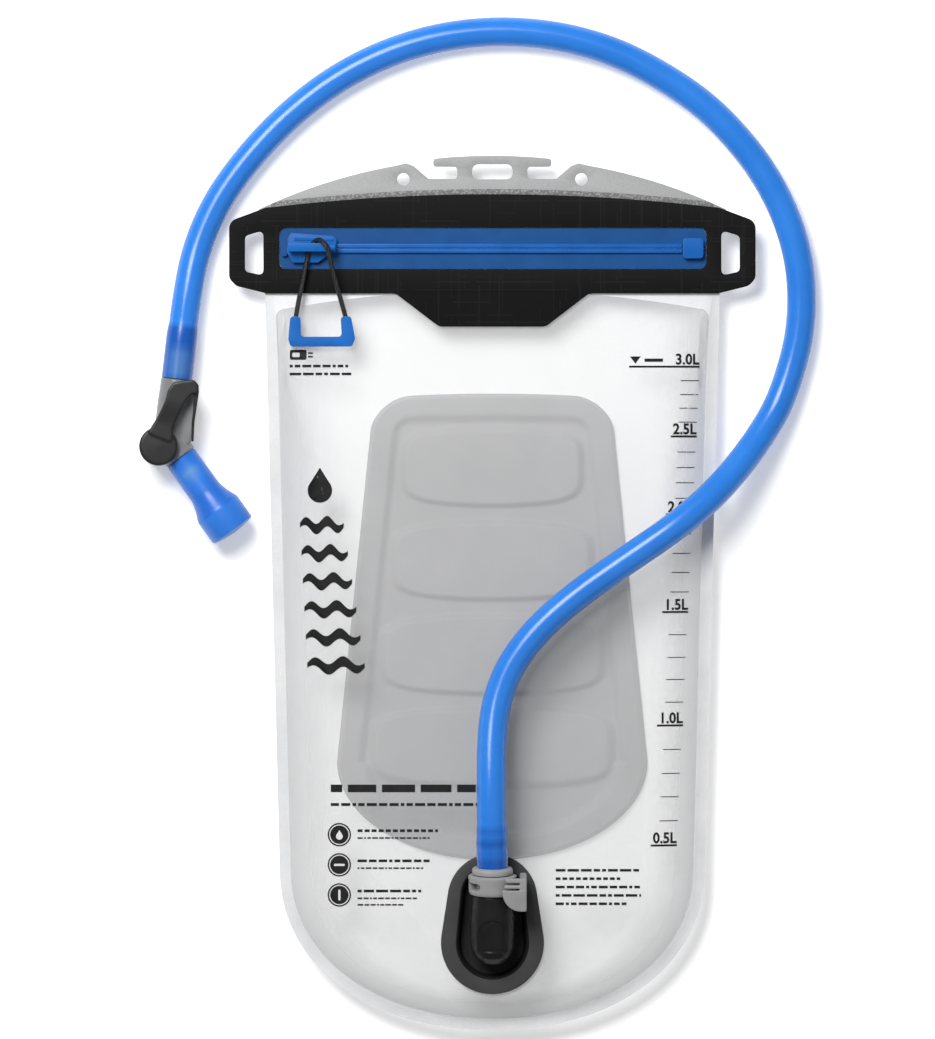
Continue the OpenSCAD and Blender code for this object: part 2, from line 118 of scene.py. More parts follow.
def rampNode(tree, factor, stops):
    ramp = tree.nodes.new("ShaderNodeValToRGB")
    ramp.color_ramp.elements[0].position = stops[0][0]
    ramp.color_ramp.elements[0].color = (*stops[0][1], 1)
    ramp.color_ramp.elements[1].position = stops[-1][0]
    ramp.color_ramp.elements[1].color = (*stops[-1][1], 1)
    for place, colour in stops[1:-1]:
        ramp.color_ramp.elements.new(place).color = (*colour, 1)
    tree.links.new(factor, ramp.inputs["Fac"])
    return ramp.outputs["Color"]


def mathNode(tree, operation, a, b):
    node = tree.nodes.new("ShaderNodeMath")
    node.operation = operation
    for socket, value in zip(node.inputs, (a, b)):
        if isinstance(value, (int, float)):
            socket.default_value = value
        else:
            tree.links.new(value, socket)
    return node.outputs["Value"]


def mixColour(tree, factor, a, b):
    node = tree.nodes.new("ShaderNodeMix")
    node.data_type = "RGBA"
    tree.links.new(factor, node.inputs["Factor"])
    for socket, value in ((node.inputs["A"], a), (node.inputs["B"], b)):
        if isinstance(value, tuple):
            socket.default_value = (*value, 1)
        else:
            tree.links.new(value, socket)
    return node.outputs["Result"]


def bumpNode(tree, shader, height, depth, strength=1.0):
    bump = tree.nodes.new("ShaderNodeBump")
    bump.inputs["Strength"].default_value = strength
    bump.inputs["Distance"].default_value = depth
    tree.links.new(height, bump.inputs["Height"])
    tree.links.new(bump.outputs["Normal"], shader.inputs["Normal"])
    return bump


def roughRange(tree, shader, factor, low, high):
    node = tree.nodes.new("ShaderNodeMapRange")
    node.inputs["To Min"].default_value = low
    node.inputs["To Max"].default_value = high
    tree.links.new(factor, node.inputs["Value"])
    tree.links.new(node.outputs["Result"], shader.inputs["Roughness"])


# plain moulded plastic
def moulded(name, dark, light, rough, patch=60.0, pore=1800.0, depth=0.00004, **sockets):
    mat, tree, shader, where = startMaterial(name)
    soft = noiseNode(tree, where, patch)
    fine = noiseNode(tree, where, pore, 4.0, 0.65)
    tree.links.new(rampNode(tree, soft, [(0.3, dark), (0.7, light)]), shader.inputs["Base Color"])
    roughRange(tree, shader, fine, rough - 0.06, rough + 0.08)
    bumpNode(tree, shader, fine, depth)
    shader.inputs["Specular IOR Level"].default_value = 0.14
    for socket, value in sockets.items():
        shader.inputs[socket.replace("_", " ")].default_value = value
    return mat


# milky film; the attribute rise is 0 at the weld and 1 on the flat top, and the colour ramp and opacity
# follow it as painted shade that makes the film greyer towards the welds
def filmMaterial(name, alphas, grey, white, rough):
    mat, tree, shader, where = startMaterial(name)
    soft = noiseNode(tree, where, 14.0, 3.0, 0.6, (1.0, 0.45, 1.0))
    haze = noiseNode(tree, where, 900.0, 5.0, 0.7)
    rise = tree.nodes.new("ShaderNodeAttribute")
    rise.attribute_name = "rise"
    cloud = mathNode(tree, "ADD", mathNode(tree, "MULTIPLY", soft, 0.3), 0.85)
    # painted shade: soft noise times rise, so the film turns greyer and more opaque towards the welds
    cloudAndEdgeShade = mathNode(tree, "MULTIPLY", rise.outputs["Fac"], cloud)
    tree.links.new(rampNode(tree, cloudAndEdgeShade, [(0.0, grey), (1.0, white)]), shader.inputs["Base Color"])
    roughRange(tree, shader, haze, rough - 0.05, rough + 0.1)
    bumpNode(tree, shader, mathNode(tree, "ADD", mathNode(tree, "MULTIPLY", soft, 6.0), haze), 0.00012)
    thin = tree.nodes.new("ShaderNodeMapRange")
    thin.inputs["To Min"].default_value, thin.inputs["To Max"].default_value = alphas
    tree.links.new(cloudAndEdgeShade, thin.inputs["Value"])
    tree.links.new(thin.outputs["Result"], shader.inputs["Alpha"])
    shader.inputs["Specular IOR Level"].default_value = 0.3
    return mat


def weldMaterial(name, alpha):
    mat, tree, shader, where = startMaterial(name)
    press = tree.nodes.new("ShaderNodeTexVoronoi")
    press.inputs["Scale"].default_value = 1100.0
    tree.links.new(where, press.inputs["Vector"])
    soft = noiseNode(tree, where, 45.0)
    tree.links.new(rampNode(tree, soft, [(0.3, (0.80, 0.81, 0.82)), (0.7, (0.90, 0.90, 0.91))]),
                   shader.inputs["Base Color"])
    roughRange(tree, shader, press.outputs["Distance"], 0.35, 0.6)
    bumpNode(tree, shader, press.outputs["Distance"], 0.00008)
    shader.inputs["Alpha"].default_value = alpha
    return mat


# thin broken lines every few millimetres, across one axis
def threadLines(tree, where, axis, spacing, seedShift):
    parts = tree.nodes.new("ShaderNodeSeparateXYZ")
    tree.links.new(where, parts.inputs["Vector"])
    along = mathNode(tree, "MULTIPLY", parts.outputs[axis], 1.0 / spacing)
    near = mathNode(tree, "PINGPONG", mathNode(tree, "ADD", along, seedShift), 0.5)
    line = mathNode(tree, "LESS_THAN", near, 0.035)
    stretch = (0.25, 1.0, 1.0) if axis == "Y" else (1.0, 0.25, 1.0)
    broken = noiseNode(tree, where, 170.0, 2.0, 0.5, stretch)
    return mathNode(tree, "MULTIPLY", line, mathNode(tree, "GREATER_THAN", broken, 0.52))


def panelFabric():
    mat, tree, shader, where = startMaterial("panelFabric")
    lines = None
    for axis in ("X", "Y"):
        for spacing, shift in ((0.0061, 0.2), (0.0097, 0.65)):
            one = threadLines(tree, where, axis, spacing, shift)
            lines = one if lines is None else mathNode(tree, "MAXIMUM", lines, one)
    weave = tree.nodes.new("ShaderNodeTexChecker")
    weave.inputs["Scale"].default_value = 2400.0
    tree.links.new(where, weave.inputs["Vector"])
    soft = noiseNode(tree, where, 35.0)
    cloth = rampNode(tree, soft, [(0.3, (0.004, 0.004, 0.0042)), (0.7, (0.006, 0.006, 0.0062))])
    tree.links.new(mixColour(tree, mathNode(tree, "MULTIPLY", lines, 0.5), cloth, (0.016, 0.016, 0.0165)),
                   shader.inputs["Base Color"])
    roughRange(tree, shader, soft, 0.5, 0.66)
    height = mathNode(tree, "ADD", mathNode(tree, "MULTIPLY", weave.outputs["Fac"], 0.5), lines)
    bumpNode(tree, shader, height, 0.00005, 0.7)
    shader.inputs["Specular IOR Level"].default_value = 0.1
    return mat


def frostedSheet():
    mat, tree, shader, where = startMaterial("frostedSheet")
    grain = noiseNode(tree, where, 1500.0, 4.0, 0.8)
    soft = noiseNode(tree, where, 40.0)
    base = rampNode(tree, grain, [(0.3, (0.26, 0.262, 0.265)), (0.5, (0.32, 0.322, 0.325)),
                                  (0.72, (0.41, 0.412, 0.415))])
    tree.links.new(mixColour(tree, mathNode(tree, "MULTIPLY", soft, 0.35), base, (0.34, 0.342, 0.345)),
                   shader.inputs["Base Color"])
    roughRange(tree, shader, grain, 0.4, 0.65)
    bumpNode(tree, shader, grain, 0.00007)
    return mat


def seamBand():
    mat, tree, shader, where = startMaterial("seamBand")
    dots = tree.nodes.new("ShaderNodeTexVoronoi")
    dots.inputs["Scale"].default_value = 900.0
    tree.links.new(where, dots.inputs["Vector"])
    speckle = rampNode(tree, dots.outputs["Distance"],
                       [(0.1, (0.30, 0.30, 0.304)), (0.6, (0.14, 0.14, 0.143))])
    tree.links.new(speckle, shader.inputs["Base Color"])
    roughRange(tree, shader, dots.outputs["Distance"], 0.45, 0.7)
    bumpNode(tree, shader, dots.outputs["Distance"], 0.0002)
    return mat


def braidedCord():
    mat, tree, shader, where = startMaterial("braidedCord")
    ways = []
    for way in (1.0, -1.0):
        wave = tree.nodes.new("ShaderNodeTexWave")
        wave.bands_direction = "DIAGONAL"
        wave.inputs["Scale"].default_value = 420.0
        mapping = tree.nodes.new("ShaderNodeMapping")
        mapping.inputs["Scale"].default_value = (way, 1.0, 1.0)
        tree.links.new(where, mapping.inputs["Vector"])
        tree.links.new(mapping.outputs["Vector"], wave.inputs["Vector"])
        ways.append(wave.outputs["Fac"])
    braid = mathNode(tree, "MAXIMUM", *ways)
    tree.links.new(rampNode(tree, braid, [(0.3, (0.002, 0.002, 0.002)), (1.0, (0.013, 0.012, 0.011))]),
                   shader.inputs["Base Color"])
    roughRange(tree, shader, braid, 0.5, 0.3)
    bumpNode(tree, shader, braid, 0.00025)
    return mat


# tinted tube; its attribute is 0.5 where it is stretched and 1 where a barb shows through, a pale colour kept
# to faces turned up or down, so partly the barb seen through and partly a painted highlight along the top
def tubeMaterial(name, deep, clear, overBarb, barbSeenAndHighlight, rough):
    mat, tree, shader, where = startMaterial(name)
    soft = noiseNode(tree, where, 30.0)
    fine = noiseNode(tree, where, 1400.0, 4.0, 0.6)
    body = rampNode(tree, soft, [(0.25, deep), (0.75, clear)])
    fittedAndHighlight = tree.nodes.new("ShaderNodeAttribute")
    fittedAndHighlight.attribute_name = "fittedAndHighlight"
    twice = mathNode(tree, "MULTIPLY", fittedAndHighlight.outputs["Fac"], 2.0)
    stretched = mixColour(tree, mathNode(tree, "MINIMUM", twice, 1.0), body, overBarb)
    # pale barb colour: partly the barb seen through the tube, partly a painted highlight on faces turned up
    near = mathNode(tree, "MAXIMUM", mathNode(tree, "SUBTRACT", twice, 1.0), 0.0)
    tree.links.new(mixColour(tree, near, stretched, barbSeenAndHighlight), shader.inputs["Base Color"])
    roughRange(tree, shader, fine, rough - 0.06, rough + 0.06)
    bumpNode(tree, shader, fine, 0.00003)
    shader.inputs["Specular IOR Level"].default_value = 0.35
    shader.inputs["Coat Weight"].default_value = 0.12
    shader.inputs["Coat Roughness"].default_value = 0.2
    shader.inputs["Subsurface Weight"].default_value = 0.35
    shader.inputs["Subsurface Radius"].default_value = (0.3, 0.7, 1.0)
    shader.inputs["Subsurface Scale"].default_value = 0.004
    return mat


def wireMaterial():
    mat, tree, shader, where = startMaterial("springWire")
    drawn = noiseNode(tree, where, 2600.0, 4.0, 0.6, (1.0, 0.1, 1.0))
    tree.links.new(rampNode(tree, drawn, [(0.3, (0.42, 0.42, 0.44)), (0.7, (0.66, 0.66, 0.68))]),
                   shader.inputs["Base Color"])
    roughRange(tree, shader, drawn, 0.22, 0.4)
    shader.inputs["Metallic"].default_value = 1.0
    return mat


print("materials")
# the first opacity and the grey colour of each film are its painted shade towards the welds
frontFilmMat = filmMaterial("milkyFilm", (0.41, 0.155), (0.71, 0.714, 0.718), (0.71, 0.712, 0.716), 0.32)
rearFilmMat = filmMaterial("rearMilkyFilm", (0.28, 0.07), (0.80, 0.805, 0.81), (0.88, 0.884, 0.888), 0.4)
weldMat = weldMaterial("weldedEdge", 0.8)
boardMat = moulded("backBoard", (0.42, 0.422, 0.425), (0.47, 0.472, 0.475), 0.5, 40.0, 900.0, 0.00008)
panelMat = panelFabric()
tapeMat = moulded("coatedTape", (0.005, 0.064, 0.22), (0.007, 0.078, 0.265), 0.42, 70.0, 1300.0, 0.00006)
railMat = moulded("zipRail", (0.008, 0.10, 0.38), (0.011, 0.125, 0.45), 0.33)
sliderMat = moulded("zipSlider", (0.007, 0.105, 0.38), (0.010, 0.13, 0.46), 0.3, 90.0)
gripMat = moulded("softGrip", (0.008, 0.11, 0.41), (0.012, 0.14, 0.50), 0.38, 80.0)
cordMat = braidedCord()
hangerMat = frostedSheet()
seamMat = seamBand()
flangeMat = moulded("portFlange", (0.046, 0.046, 0.047), (0.058, 0.058, 0.059), 0.5, 60.0, 1100.0, 0.00007)
tubMat = moulded("portTub", (0.010, 0.010, 0.010), (0.015, 0.015, 0.015), 0.42)
elbowMat = moulded("portElbow", (0.010, 0.010, 0.010), (0.015, 0.015, 0.015), 0.3, 90.0)
fittingMat = moulded("greyFitting", (0.27, 0.27, 0.275), (0.32, 0.32, 0.325), 0.35, 70.0)
valveMat = moulded("valveShell", (0.20, 0.205, 0.21), (0.27, 0.275, 0.28), 0.3, 60.0, 1600.0, 0.00004,
                   Alpha=0.94, Coat_Weight=0.3)
leverMat = moulded("leverBlack", (0.009, 0.009, 0.0095), (0.014, 0.014, 0.0145), 0.42, 80.0, 2200.0, 0.00008,
                    Coat_Weight=0.5, Coat_Roughness=0.35)
# the last colour of each is the barb seen through, also used as a painted highlight on faces turned up
tubeMat = tubeMaterial("blueTube", (0.018, 0.190, 0.655), (0.030, 0.230, 0.74), (0.006, 0.098, 0.44),
                       (0.10, 0.25, 0.52), 0.24)
biteMat = tubeMaterial("biteSilicone", (0.012, 0.135, 0.56), (0.020, 0.165, 0.64), (0.030, 0.20, 0.70),
                       (0.14, 0.31, 0.62), 0.36)
inkMat = moulded("printInk", (0.010, 0.010, 0.010), (0.016, 0.016, 0.016), 0.55, 200.0, 2500.0, 0.00002)
wireMat = wireMaterial()
rubberMat = moulded("sealRubber", (0.010, 0.010, 0.010), (0.018, 0.018, 0.018), 0.6)
poppetMat = moulded("poppetPlastic", (0.42, 0.11, 0.02), (0.52, 0.15, 0.03), 0.4)
plugMat = moulded("plugPlastic", (0.60, 0.60, 0.57), (0.70, 0.70, 0.67), 0.4)


# shape helpers

def arcPoints(cx, cy, rx, ry, start, stop, steps):
    turn = [math.radians(start + (stop - start) * i / steps) for i in range(steps + 1)]
    return [(cx + rx * math.cos(t), cy + ry * math.sin(t)) for t in turn]


# turns each real corner of a closed outline into a small curve
def roundCorners(points, radius, steps=5, sharpest=18.0):
    points = [p for i, p in enumerate(points) if (Vector(p) - Vector(points[i - 1])).length > 0.01]
    done = []
    for i, p in enumerate(points):
        here = Vector(p)
        back = Vector(points[i - 1]) - here
        ahead = Vector(points[(i + 1) % len(points)]) - here
        if 180.0 - math.degrees(back.angle(ahead)) < sharpest:
            done.append(p)
            continue
        reach = radius / math.tan(back.angle(ahead) / 2)
        reach = min(reach, 0.48 * back.length, 0.48 * ahead.length)
        a, b = here + back.normalized() * reach, here + ahead.normalized() * reach
        for k in range(steps + 1):
            t = k / steps
            spot = a * (1 - t) ** 2 + here * 2 * t * (1 - t) + b * t * t
            done.append((spot.x, spot.y))
    return done


# closes an outline drawn from bottom middle to top middle on the right
def mirrored(points):
    return points + [(-x, y) for x, y in reversed(points) if abs(x) > 1e-6]


def teardrop(rHigh, yHigh, rLow, yLow, steps=40):
    slant = math.degrees(math.asin((rLow - rHigh) / (yHigh - yLow)))
    return (arcPoints(0, yHigh, rHigh, rHigh, slant, 180 - slant, steps)
            + arcPoints(0, yLow, rLow, rLow, 180 - slant, 360 + slant, steps))


def roundBox(cx, cy, width, height, radius, steps=6):
    w, h = width / 2, height / 2
    return roundCorners([(cx - w, cy - h), (cx + w, cy - h), (cx + w, cy + h), (cx - w, cy + h)],
                        radius, steps)


def addLoop(bm, points, z=0.0):
    verts = [bm.verts.new((p[0], p[1], z)) for p in points]
    edges = [bm.edges.new((v, verts[(i + 1) % len(verts)])) for i, v in enumerate(verts)]
    return verts, edges


# extrudes a closed loop of vertices to new places and returns the new loop
def growLoop(bm, verts, places):
    edges = [bm.edges.get((v, verts[(i + 1) % len(verts)])) for i, v in enumerate(verts)]
    made = bmesh.ops.extrude_edge_only(bm, edges=edges)["geom"]
    fresh = {g for g in made if isinstance(g, bmesh.types.BMVert)}
    loop = []
    for v, place in zip(verts, places):
        new = next(e.other_vert(v) for e in v.link_edges if e.other_vert(v) in fresh)
        new.co = place
        loop.append(new)
    return loop


# a skin through closed rings of points
def loft(rings, capStart=True, capEnd=True):
    bm = bmesh.new()
    verts = [bm.verts.new(p) for p in rings[0]]
    for i, v in enumerate(verts):
        bm.edges.new((v, verts[(i + 1) % len(verts)]))
    first = verts
    for ring in rings[1:]:
        verts = growLoop(bm, verts, ring)
    if capStart:
        bm.faces.new(first)
    if capEnd:
        bm.faces.new(verts)
    bmesh.ops.recalc_face_normals(bm, faces=bm.faces[:])
    return bm


def rimEdges(bm, least=50.0):
    return [e for e in bm.edges if len(e.link_faces) == 2
            and math.degrees(e.calc_face_angle(0.0)) > least]


def bevelEdges(bm, edges, width, segments=3):
    bmesh.ops.bevel(bm, geom=edges, offset=width, offset_type="OFFSET", segments=segments,
                    profile=0.5, affect="EDGES", clamp_overlap=True, material=-1)


# a flat piece with through holes and softened rims
def plate(outline, low, high, holes=(), rim=0.4, segments=3):
    bm = bmesh.new()
    edges = []
    for points in (outline, *holes):
        edges += addLoop(bm, points, low)[1]
    bmesh.ops.triangle_fill(bm, use_beauty=True, use_dissolve=False, edges=edges)
    made = bmesh.ops.extrude_face_region(bm, geom=bm.faces[:])["geom"]
    bmesh.ops.translate(bm, vec=(0, 0, high - low),
                        verts=[g for g in made if isinstance(g, bmesh.types.BMVert)])
    bmesh.ops.recalc_face_normals(bm, faces=bm.faces[:])
    if rim:
        flat = [e for e in rimEdges(bm) if abs(e.verts[0].co.z - e.verts[1].co.z) < 1e-6]
        bevelEdges(bm, flat, rim, segments)
    return bm


# spins (radius, height) points about Z
def lathe(profile, steps=56):
    bm = bmesh.new()
    verts = [bm.verts.new((r, 0, h)) for r, h in profile]
    edges = [bm.edges.new(pair) for pair in zip(verts, verts[1:])]
    bmesh.ops.spin(bm, geom=verts + edges, cent=(0, 0, 0), axis=(0, 0, 1),
                   angle=2 * math.pi, steps=steps, use_merge=True, use_duplicate=False)
    bmesh.ops.remove_doubles(bm, verts=bm.verts[:], dist=1e-4)
    bmesh.ops.recalc_face_normals(bm, faces=bm.faces[:])
    return bm


# moves other's geometry into bm
def addShape(bm, other):
    mesh = bpy.data.meshes.new("part")
    other.to_mesh(mesh)
    other.free()
    bm.from_mesh(mesh)
    bpy.data.meshes.remove(mesh)
    return bm


def placed(bm, matrix):
    bmesh.ops.transform(bm, matrix=matrix, verts=bm.verts[:])
    return bm


# runs a bmesh through modifiers and gives the result back as a bmesh
def throughModifiers(bm, addModifiers):
    mesh = bpy.data.meshes.new("work")
    bm.to_mesh(mesh)
    bm.free()
    obj = bpy.data.objects.new("work", mesh)
    scene.collection.objects.link(obj)
    extra = addModifiers(obj)
    graph = bpy.context.evaluated_depsgraph_get()
    made = bpy.data.meshes.new_from_object(obj.evaluated_get(graph))
    out = bmesh.new()
    out.from_mesh(made)
    for o in [obj] + (extra or []):
        bpy.data.objects.remove(o)
    bpy.data.meshes.remove(made)
    return out


# joins overlapping closed shapes into one moulded body with soft corners
def melded(bm, voxel, smoothing):
    def add(obj):
        remesh = obj.modifiers.new("remesh", "REMESH")
        remesh.mode = "VOXEL"
        remesh.voxel_size = voxel
        smooth = obj.modifiers.new("smooth", "SMOOTH")
        smooth.factor = 0.5
        smooth.iterations = smoothing
    return throughModifiers(bm, add)


def cutAway(bm, cutter):
    def add(obj):
        mesh = bpy.data.meshes.new("cutter")
        cutter.to_mesh(mesh)
        cutter.free()
        tool = bpy.data.objects.new("cutter", mesh)
        scene.collection.objects.link(tool)
        boolean = obj.modifiers.new("cut", "BOOLEAN")
        boolean.operation = "DIFFERENCE"
        boolean.solver = "EXACT"
        boolean.object = tool
        return [tool]
    return throughModifiers(bm, add)


def finishPiece(name, bm, mats, body, stands=(), place=None, sharp=38.0):
    if place is not None:
        placed(bm, place)
    bmesh.ops.scale(bm, vec=(mm, mm, mm), verts=bm.verts[:])
    mesh = bpy.data.meshes.new(name)
    bm.to_mesh(mesh)
    bm.free()
    mesh.polygons.foreach_set("use_smooth", [True] * len(mesh.polygons))
    mesh.set_sharp_from_angle(angle=math.radians(sharp))
    for mat in mats if isinstance(mats, list) else [mats]:
        mesh.materials.append(mat)
    obj = bpy.data.objects.new(name, mesh)
    scene.collection.objects.link(obj)
    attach(obj, body)
    if stands:
        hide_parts(*stands)
    return obj


def smoothstep(x):
    x = min(1.0, max(0.0, x))
    return x * x * (3 - 2 * x)


# drink tube

tube = {"radius": 0.007, "sides": 24, "step": 0.003, "portFlare": 0.0004, "flareEnds": 0.022,
        "cuff": 0.0005, "cuffEnds": 0.027, "ridge": 0.00016, "ridgesAt": (0.006, 0.012, 0.018)}
route = [
    (0.0, -0.1304, 0.0384), (-0.0002, -0.118, 0.040), (-0.0005, -0.103, 0.0409), (-0.0005, -0.088, 0.040),
    (-0.0004, -0.074, 0.0378), (0.0007, -0.060, 0.0354), (0.0036, -0.047, 0.0339), (0.009, -0.0345, 0.0334),
    (0.017, -0.023, 0.0334), (0.0275, -0.0118, 0.0334), (0.042, 0.0003, 0.0334), (0.057, 0.011, 0.0334),
    (0.071, 0.0206, 0.0335), (0.085, 0.0304, 0.0327), (0.097, 0.0398, 0.0298), (0.108, 0.050, 0.025),
    (0.119, 0.0626, 0.0186), (0.129, 0.0765, 0.0126), (0.137, 0.0905, 0.0088), (0.143, 0.107, 0.0074),
    (0.147, 0.124, 0.0072), (0.1482, 0.142, 0.0072), (0.1465, 0.160, 0.0072), (0.1415, 0.178, 0.0072),
    (0.133, 0.196, 0.0072), (0.121, 0.2135, 0.0072), (0.104, 0.2315, 0.0072), (0.084, 0.246, 0.0072),
    (0.060, 0.2585, 0.0072), (0.034, 0.2662, 0.0072), (0.006, 0.269, 0.0072), (-0.022, 0.2666, 0.0072),
    (-0.049, 0.259, 0.0072), (-0.074, 0.2465, 0.0072), (-0.096, 0.230, 0.0072), (-0.115, 0.2105, 0.0072),
    (-0.131, 0.1885, 0.0072), (-0.141, 0.166, 0.0078), (-0.1463, 0.141, 0.0104), (-0.151, 0.1024, 0.0117)]


def smoothLine(points, perSegment):
    line = []
    for i in range(len(points) - 1):
        a, b = Vector(points[max(i - 1, 0)]), Vector(points[i])
        c, d = Vector(points[i + 1]), Vector(points[min(i + 2, len(points) - 1)])
        for k in range(perSegment):
            t = k / perSegment
            line.append(0.5 * (2 * b + (c - a) * t + (2 * a - 5 * b + 4 * c - d) * t ** 2
                               + (3 * b - a - 3 * c + d) * t ** 3))
    return line + [Vector(points[-1])]


# the same line with points a step apart
def evenly(line, step):
    total = sum((b - a).length for a, b in zip(line, line[1:]))
    count = max(2, round(total / step))
    gap, out, gone, want = total / count, [line[0]], 0.0, total / count
    for a, b in zip(line, line[1:]):
        length = (b - a).length
        while want <= gone + length + 1e-12 and len(out) < count:
            out.append(a.lerp(b, (want - gone) / length))
            want += gap
        gone += length
    return out + [line[-1]], total


# rings of points square to the line, turned as little as possible
def sweepRings(line, radiusAt, sides):
    rings = []
    side = None
    for i, p in enumerate(line):
        ahead = (line[min(i + 1, len(line) - 1)] - line[max(i - 1, 0)]).normalized()
        if side is None:
            side = ahead.orthogonal().normalized()
        side = (side - ahead * side.dot(ahead)).normalized()
        up = ahead.cross(side)
        r = radiusAt(i)
        rings.append([p + r * (side * math.cos(t) + up * math.sin(t))
                      for t in (2 * math.pi * k / sides for k in range(sides))])
    return rings


def markFittedAndHighlight(obj, values):
    layer = obj.data.attributes.new("fittedAndHighlight", "FLOAT", "POINT")
    layer.data.foreach_set("value", values)


def makeTube():
    line, length = evenly(smoothLine(route, 12), tube["step"])
    last = len(line) - 1

    def grow(i):
        fromPort, fromValve = i * tube["step"], (last - i) * tube["step"]
        flare = tube["portFlare"] * smoothstep((tube["flareEnds"] - fromPort) / 0.010)
        ridge = sum(tube["ridge"] * math.exp(-((fromPort - at) / 0.0012) ** 2) for at in tube["ridgesAt"])
        cuff = tube["cuff"] * smoothstep((tube["cuffEnds"] - fromValve) / 0.005)
        return tube["radius"] + flare + ridge + cuff

    bm = loft(sweepRings(line, grow, tube["sides"]))
    bmesh.ops.scale(bm, vec=(1 / mm,) * 3, verts=bm.verts[:])
    obj = finishPiece("drink_tube_blue", bm, tubeMat, "hose", ["drink_tube"])
    values = []
    for v in obj.data.vertices:
        start, end = (v.co - line[0]).length, (v.co - line[-1]).length
        nearPort = 0.34 * (1 - smoothstep((start - 0.018) / 0.004))
        nearPort *= 1 + 0.5 * math.sin(start / 0.0062 * 2 * math.pi)
        nearValve = 0.5 * (1 - smoothstep((end - 0.025) / 0.002))
        # near the valve the pale barb colour is kept to faces turned up or down: partly the barb seen
        # through, partly a painted highlight along the top
        facing = abs(v.normal.z) ** 3
        barbAndHighlight = 0.36 * facing * smoothstep((0.019 - end) / 0.006)
        values.append(min(1.0, nearPort + nearValve + barbAndHighlight))
    markFittedAndHighlight(obj, values)
    return obj, line, length


# films

film = {"topHalf": 109.8, "lowHalf": 101.8, "roundY": -132.0, "roundH": 77.4, "power": 2.12,
        "topY": 182.0, "weld": 5.3, "weldZ": 12.0, "thick": 0.5, "swell": 13.2, "flatLow": 126.0,
        "rearZ": 5.0}


def halfWidth(y):
    share = (y - film["roundY"]) / (film["topY"] - film["roundY"])
    return film["lowHalf"] + (film["topHalf"] - film["lowHalf"]) * share


# a closed ring of the film's outline, set in; dip lowers the outer parts of its top edge
def filmRing(side, low, topY, corner, z, dip=0.0):
    r, power = film["roundY"], 2 / film["power"]
    right = arcPoints(halfWidth(topY) - side - corner, topY - corner, corner, corner, 90, 0, 8)
    for i in range(1, 24):
        y = topY - corner + (r - topY + corner) * i / 24
        right.append((halfWidth(y) - side, y))
    for i in range(41):
        t = math.radians(90 * i / 40)
        right.append(((film["lowHalf"] - side) * max(math.cos(t), 0) ** power,
                      r - (film["roundH"] - low) * math.sin(t) ** power))
    span = right[0][0]
    top = [(span * (1 - 2 * i / 16), topY) for i in range(1, 16)]
    ring = right + [(-x, y) for x, y in reversed(right[:-1])] + top[::-1]
    return [Vector((x, y - dip * (x / span) ** 2 if y > topY - 0.01 else
                    (y - dip if y > topY - corner - 0.01 else y), z)) for x, y in ring]


def frontRings():
    w = film["weld"]
    top = film["weldZ"] + film["thick"]
    rings = [filmRing(0, 0, film["topY"], 8, top), filmRing(w * 0.93, w * 0.93, 146, 4, top, 9),
             filmRing(w, w, 145, 4, top + 0.25, 9)]
    steps = 12
    for i in range(steps + 1):
        f = i / steps
        rings.append(filmRing(w + 0.4 + 23.6 * f, w + 0.4 + 12.3 * f, film["flatLow"] - 66 * f,
                              14 + 8 * f, top + 0.25 + (film["swell"] - 0.25) * math.sin(math.pi / 2 * f)))
    return rings


def rearRings():
    w = film["weld"]
    low = film["weldZ"] - film["thick"]
    rings = [filmRing(0, 0, film["topY"], 8, low), filmRing(w, w, film["topY"] - w, 6, low)]
    steps = 10
    for i in range(1, steps + 1):
        f = i / steps
        rings.append(filmRing(w + 20 * f, w + 20 * f, film["topY"] - w - 8 * f, 8 + 6 * f,
                              low - (low - film["rearZ"]) * math.sin(math.pi / 2 * f)))
    return rings


# 0 at the side and bottom welds to 1 well inside, for the film's colour and opacity, which paint shade
# towards the welds
def markRise(obj):
    values = []
    for v in obj.data.vertices:
        x, y = abs(v.co.x) / mm, v.co.y / mm
        inset = halfWidth(y) - x
        if y < film["roundY"]:
            down = (film["roundY"] - y) / film["roundH"]
            spread = (down ** film["power"] + (x / film["lowHalf"]) ** film["power"]) ** (1 / film["power"])
            inset = (1 - spread) * film["roundH"] * (1 + 0.3 * x / film["lowHalf"])
        values.append(smoothstep((inset - film["weld"] + 6) / 36) if inset > 0 else 0.0)
    layer = obj.data.attributes.new("rise", "FLOAT", "POINT")
    layer.data.foreach_set("value", values)


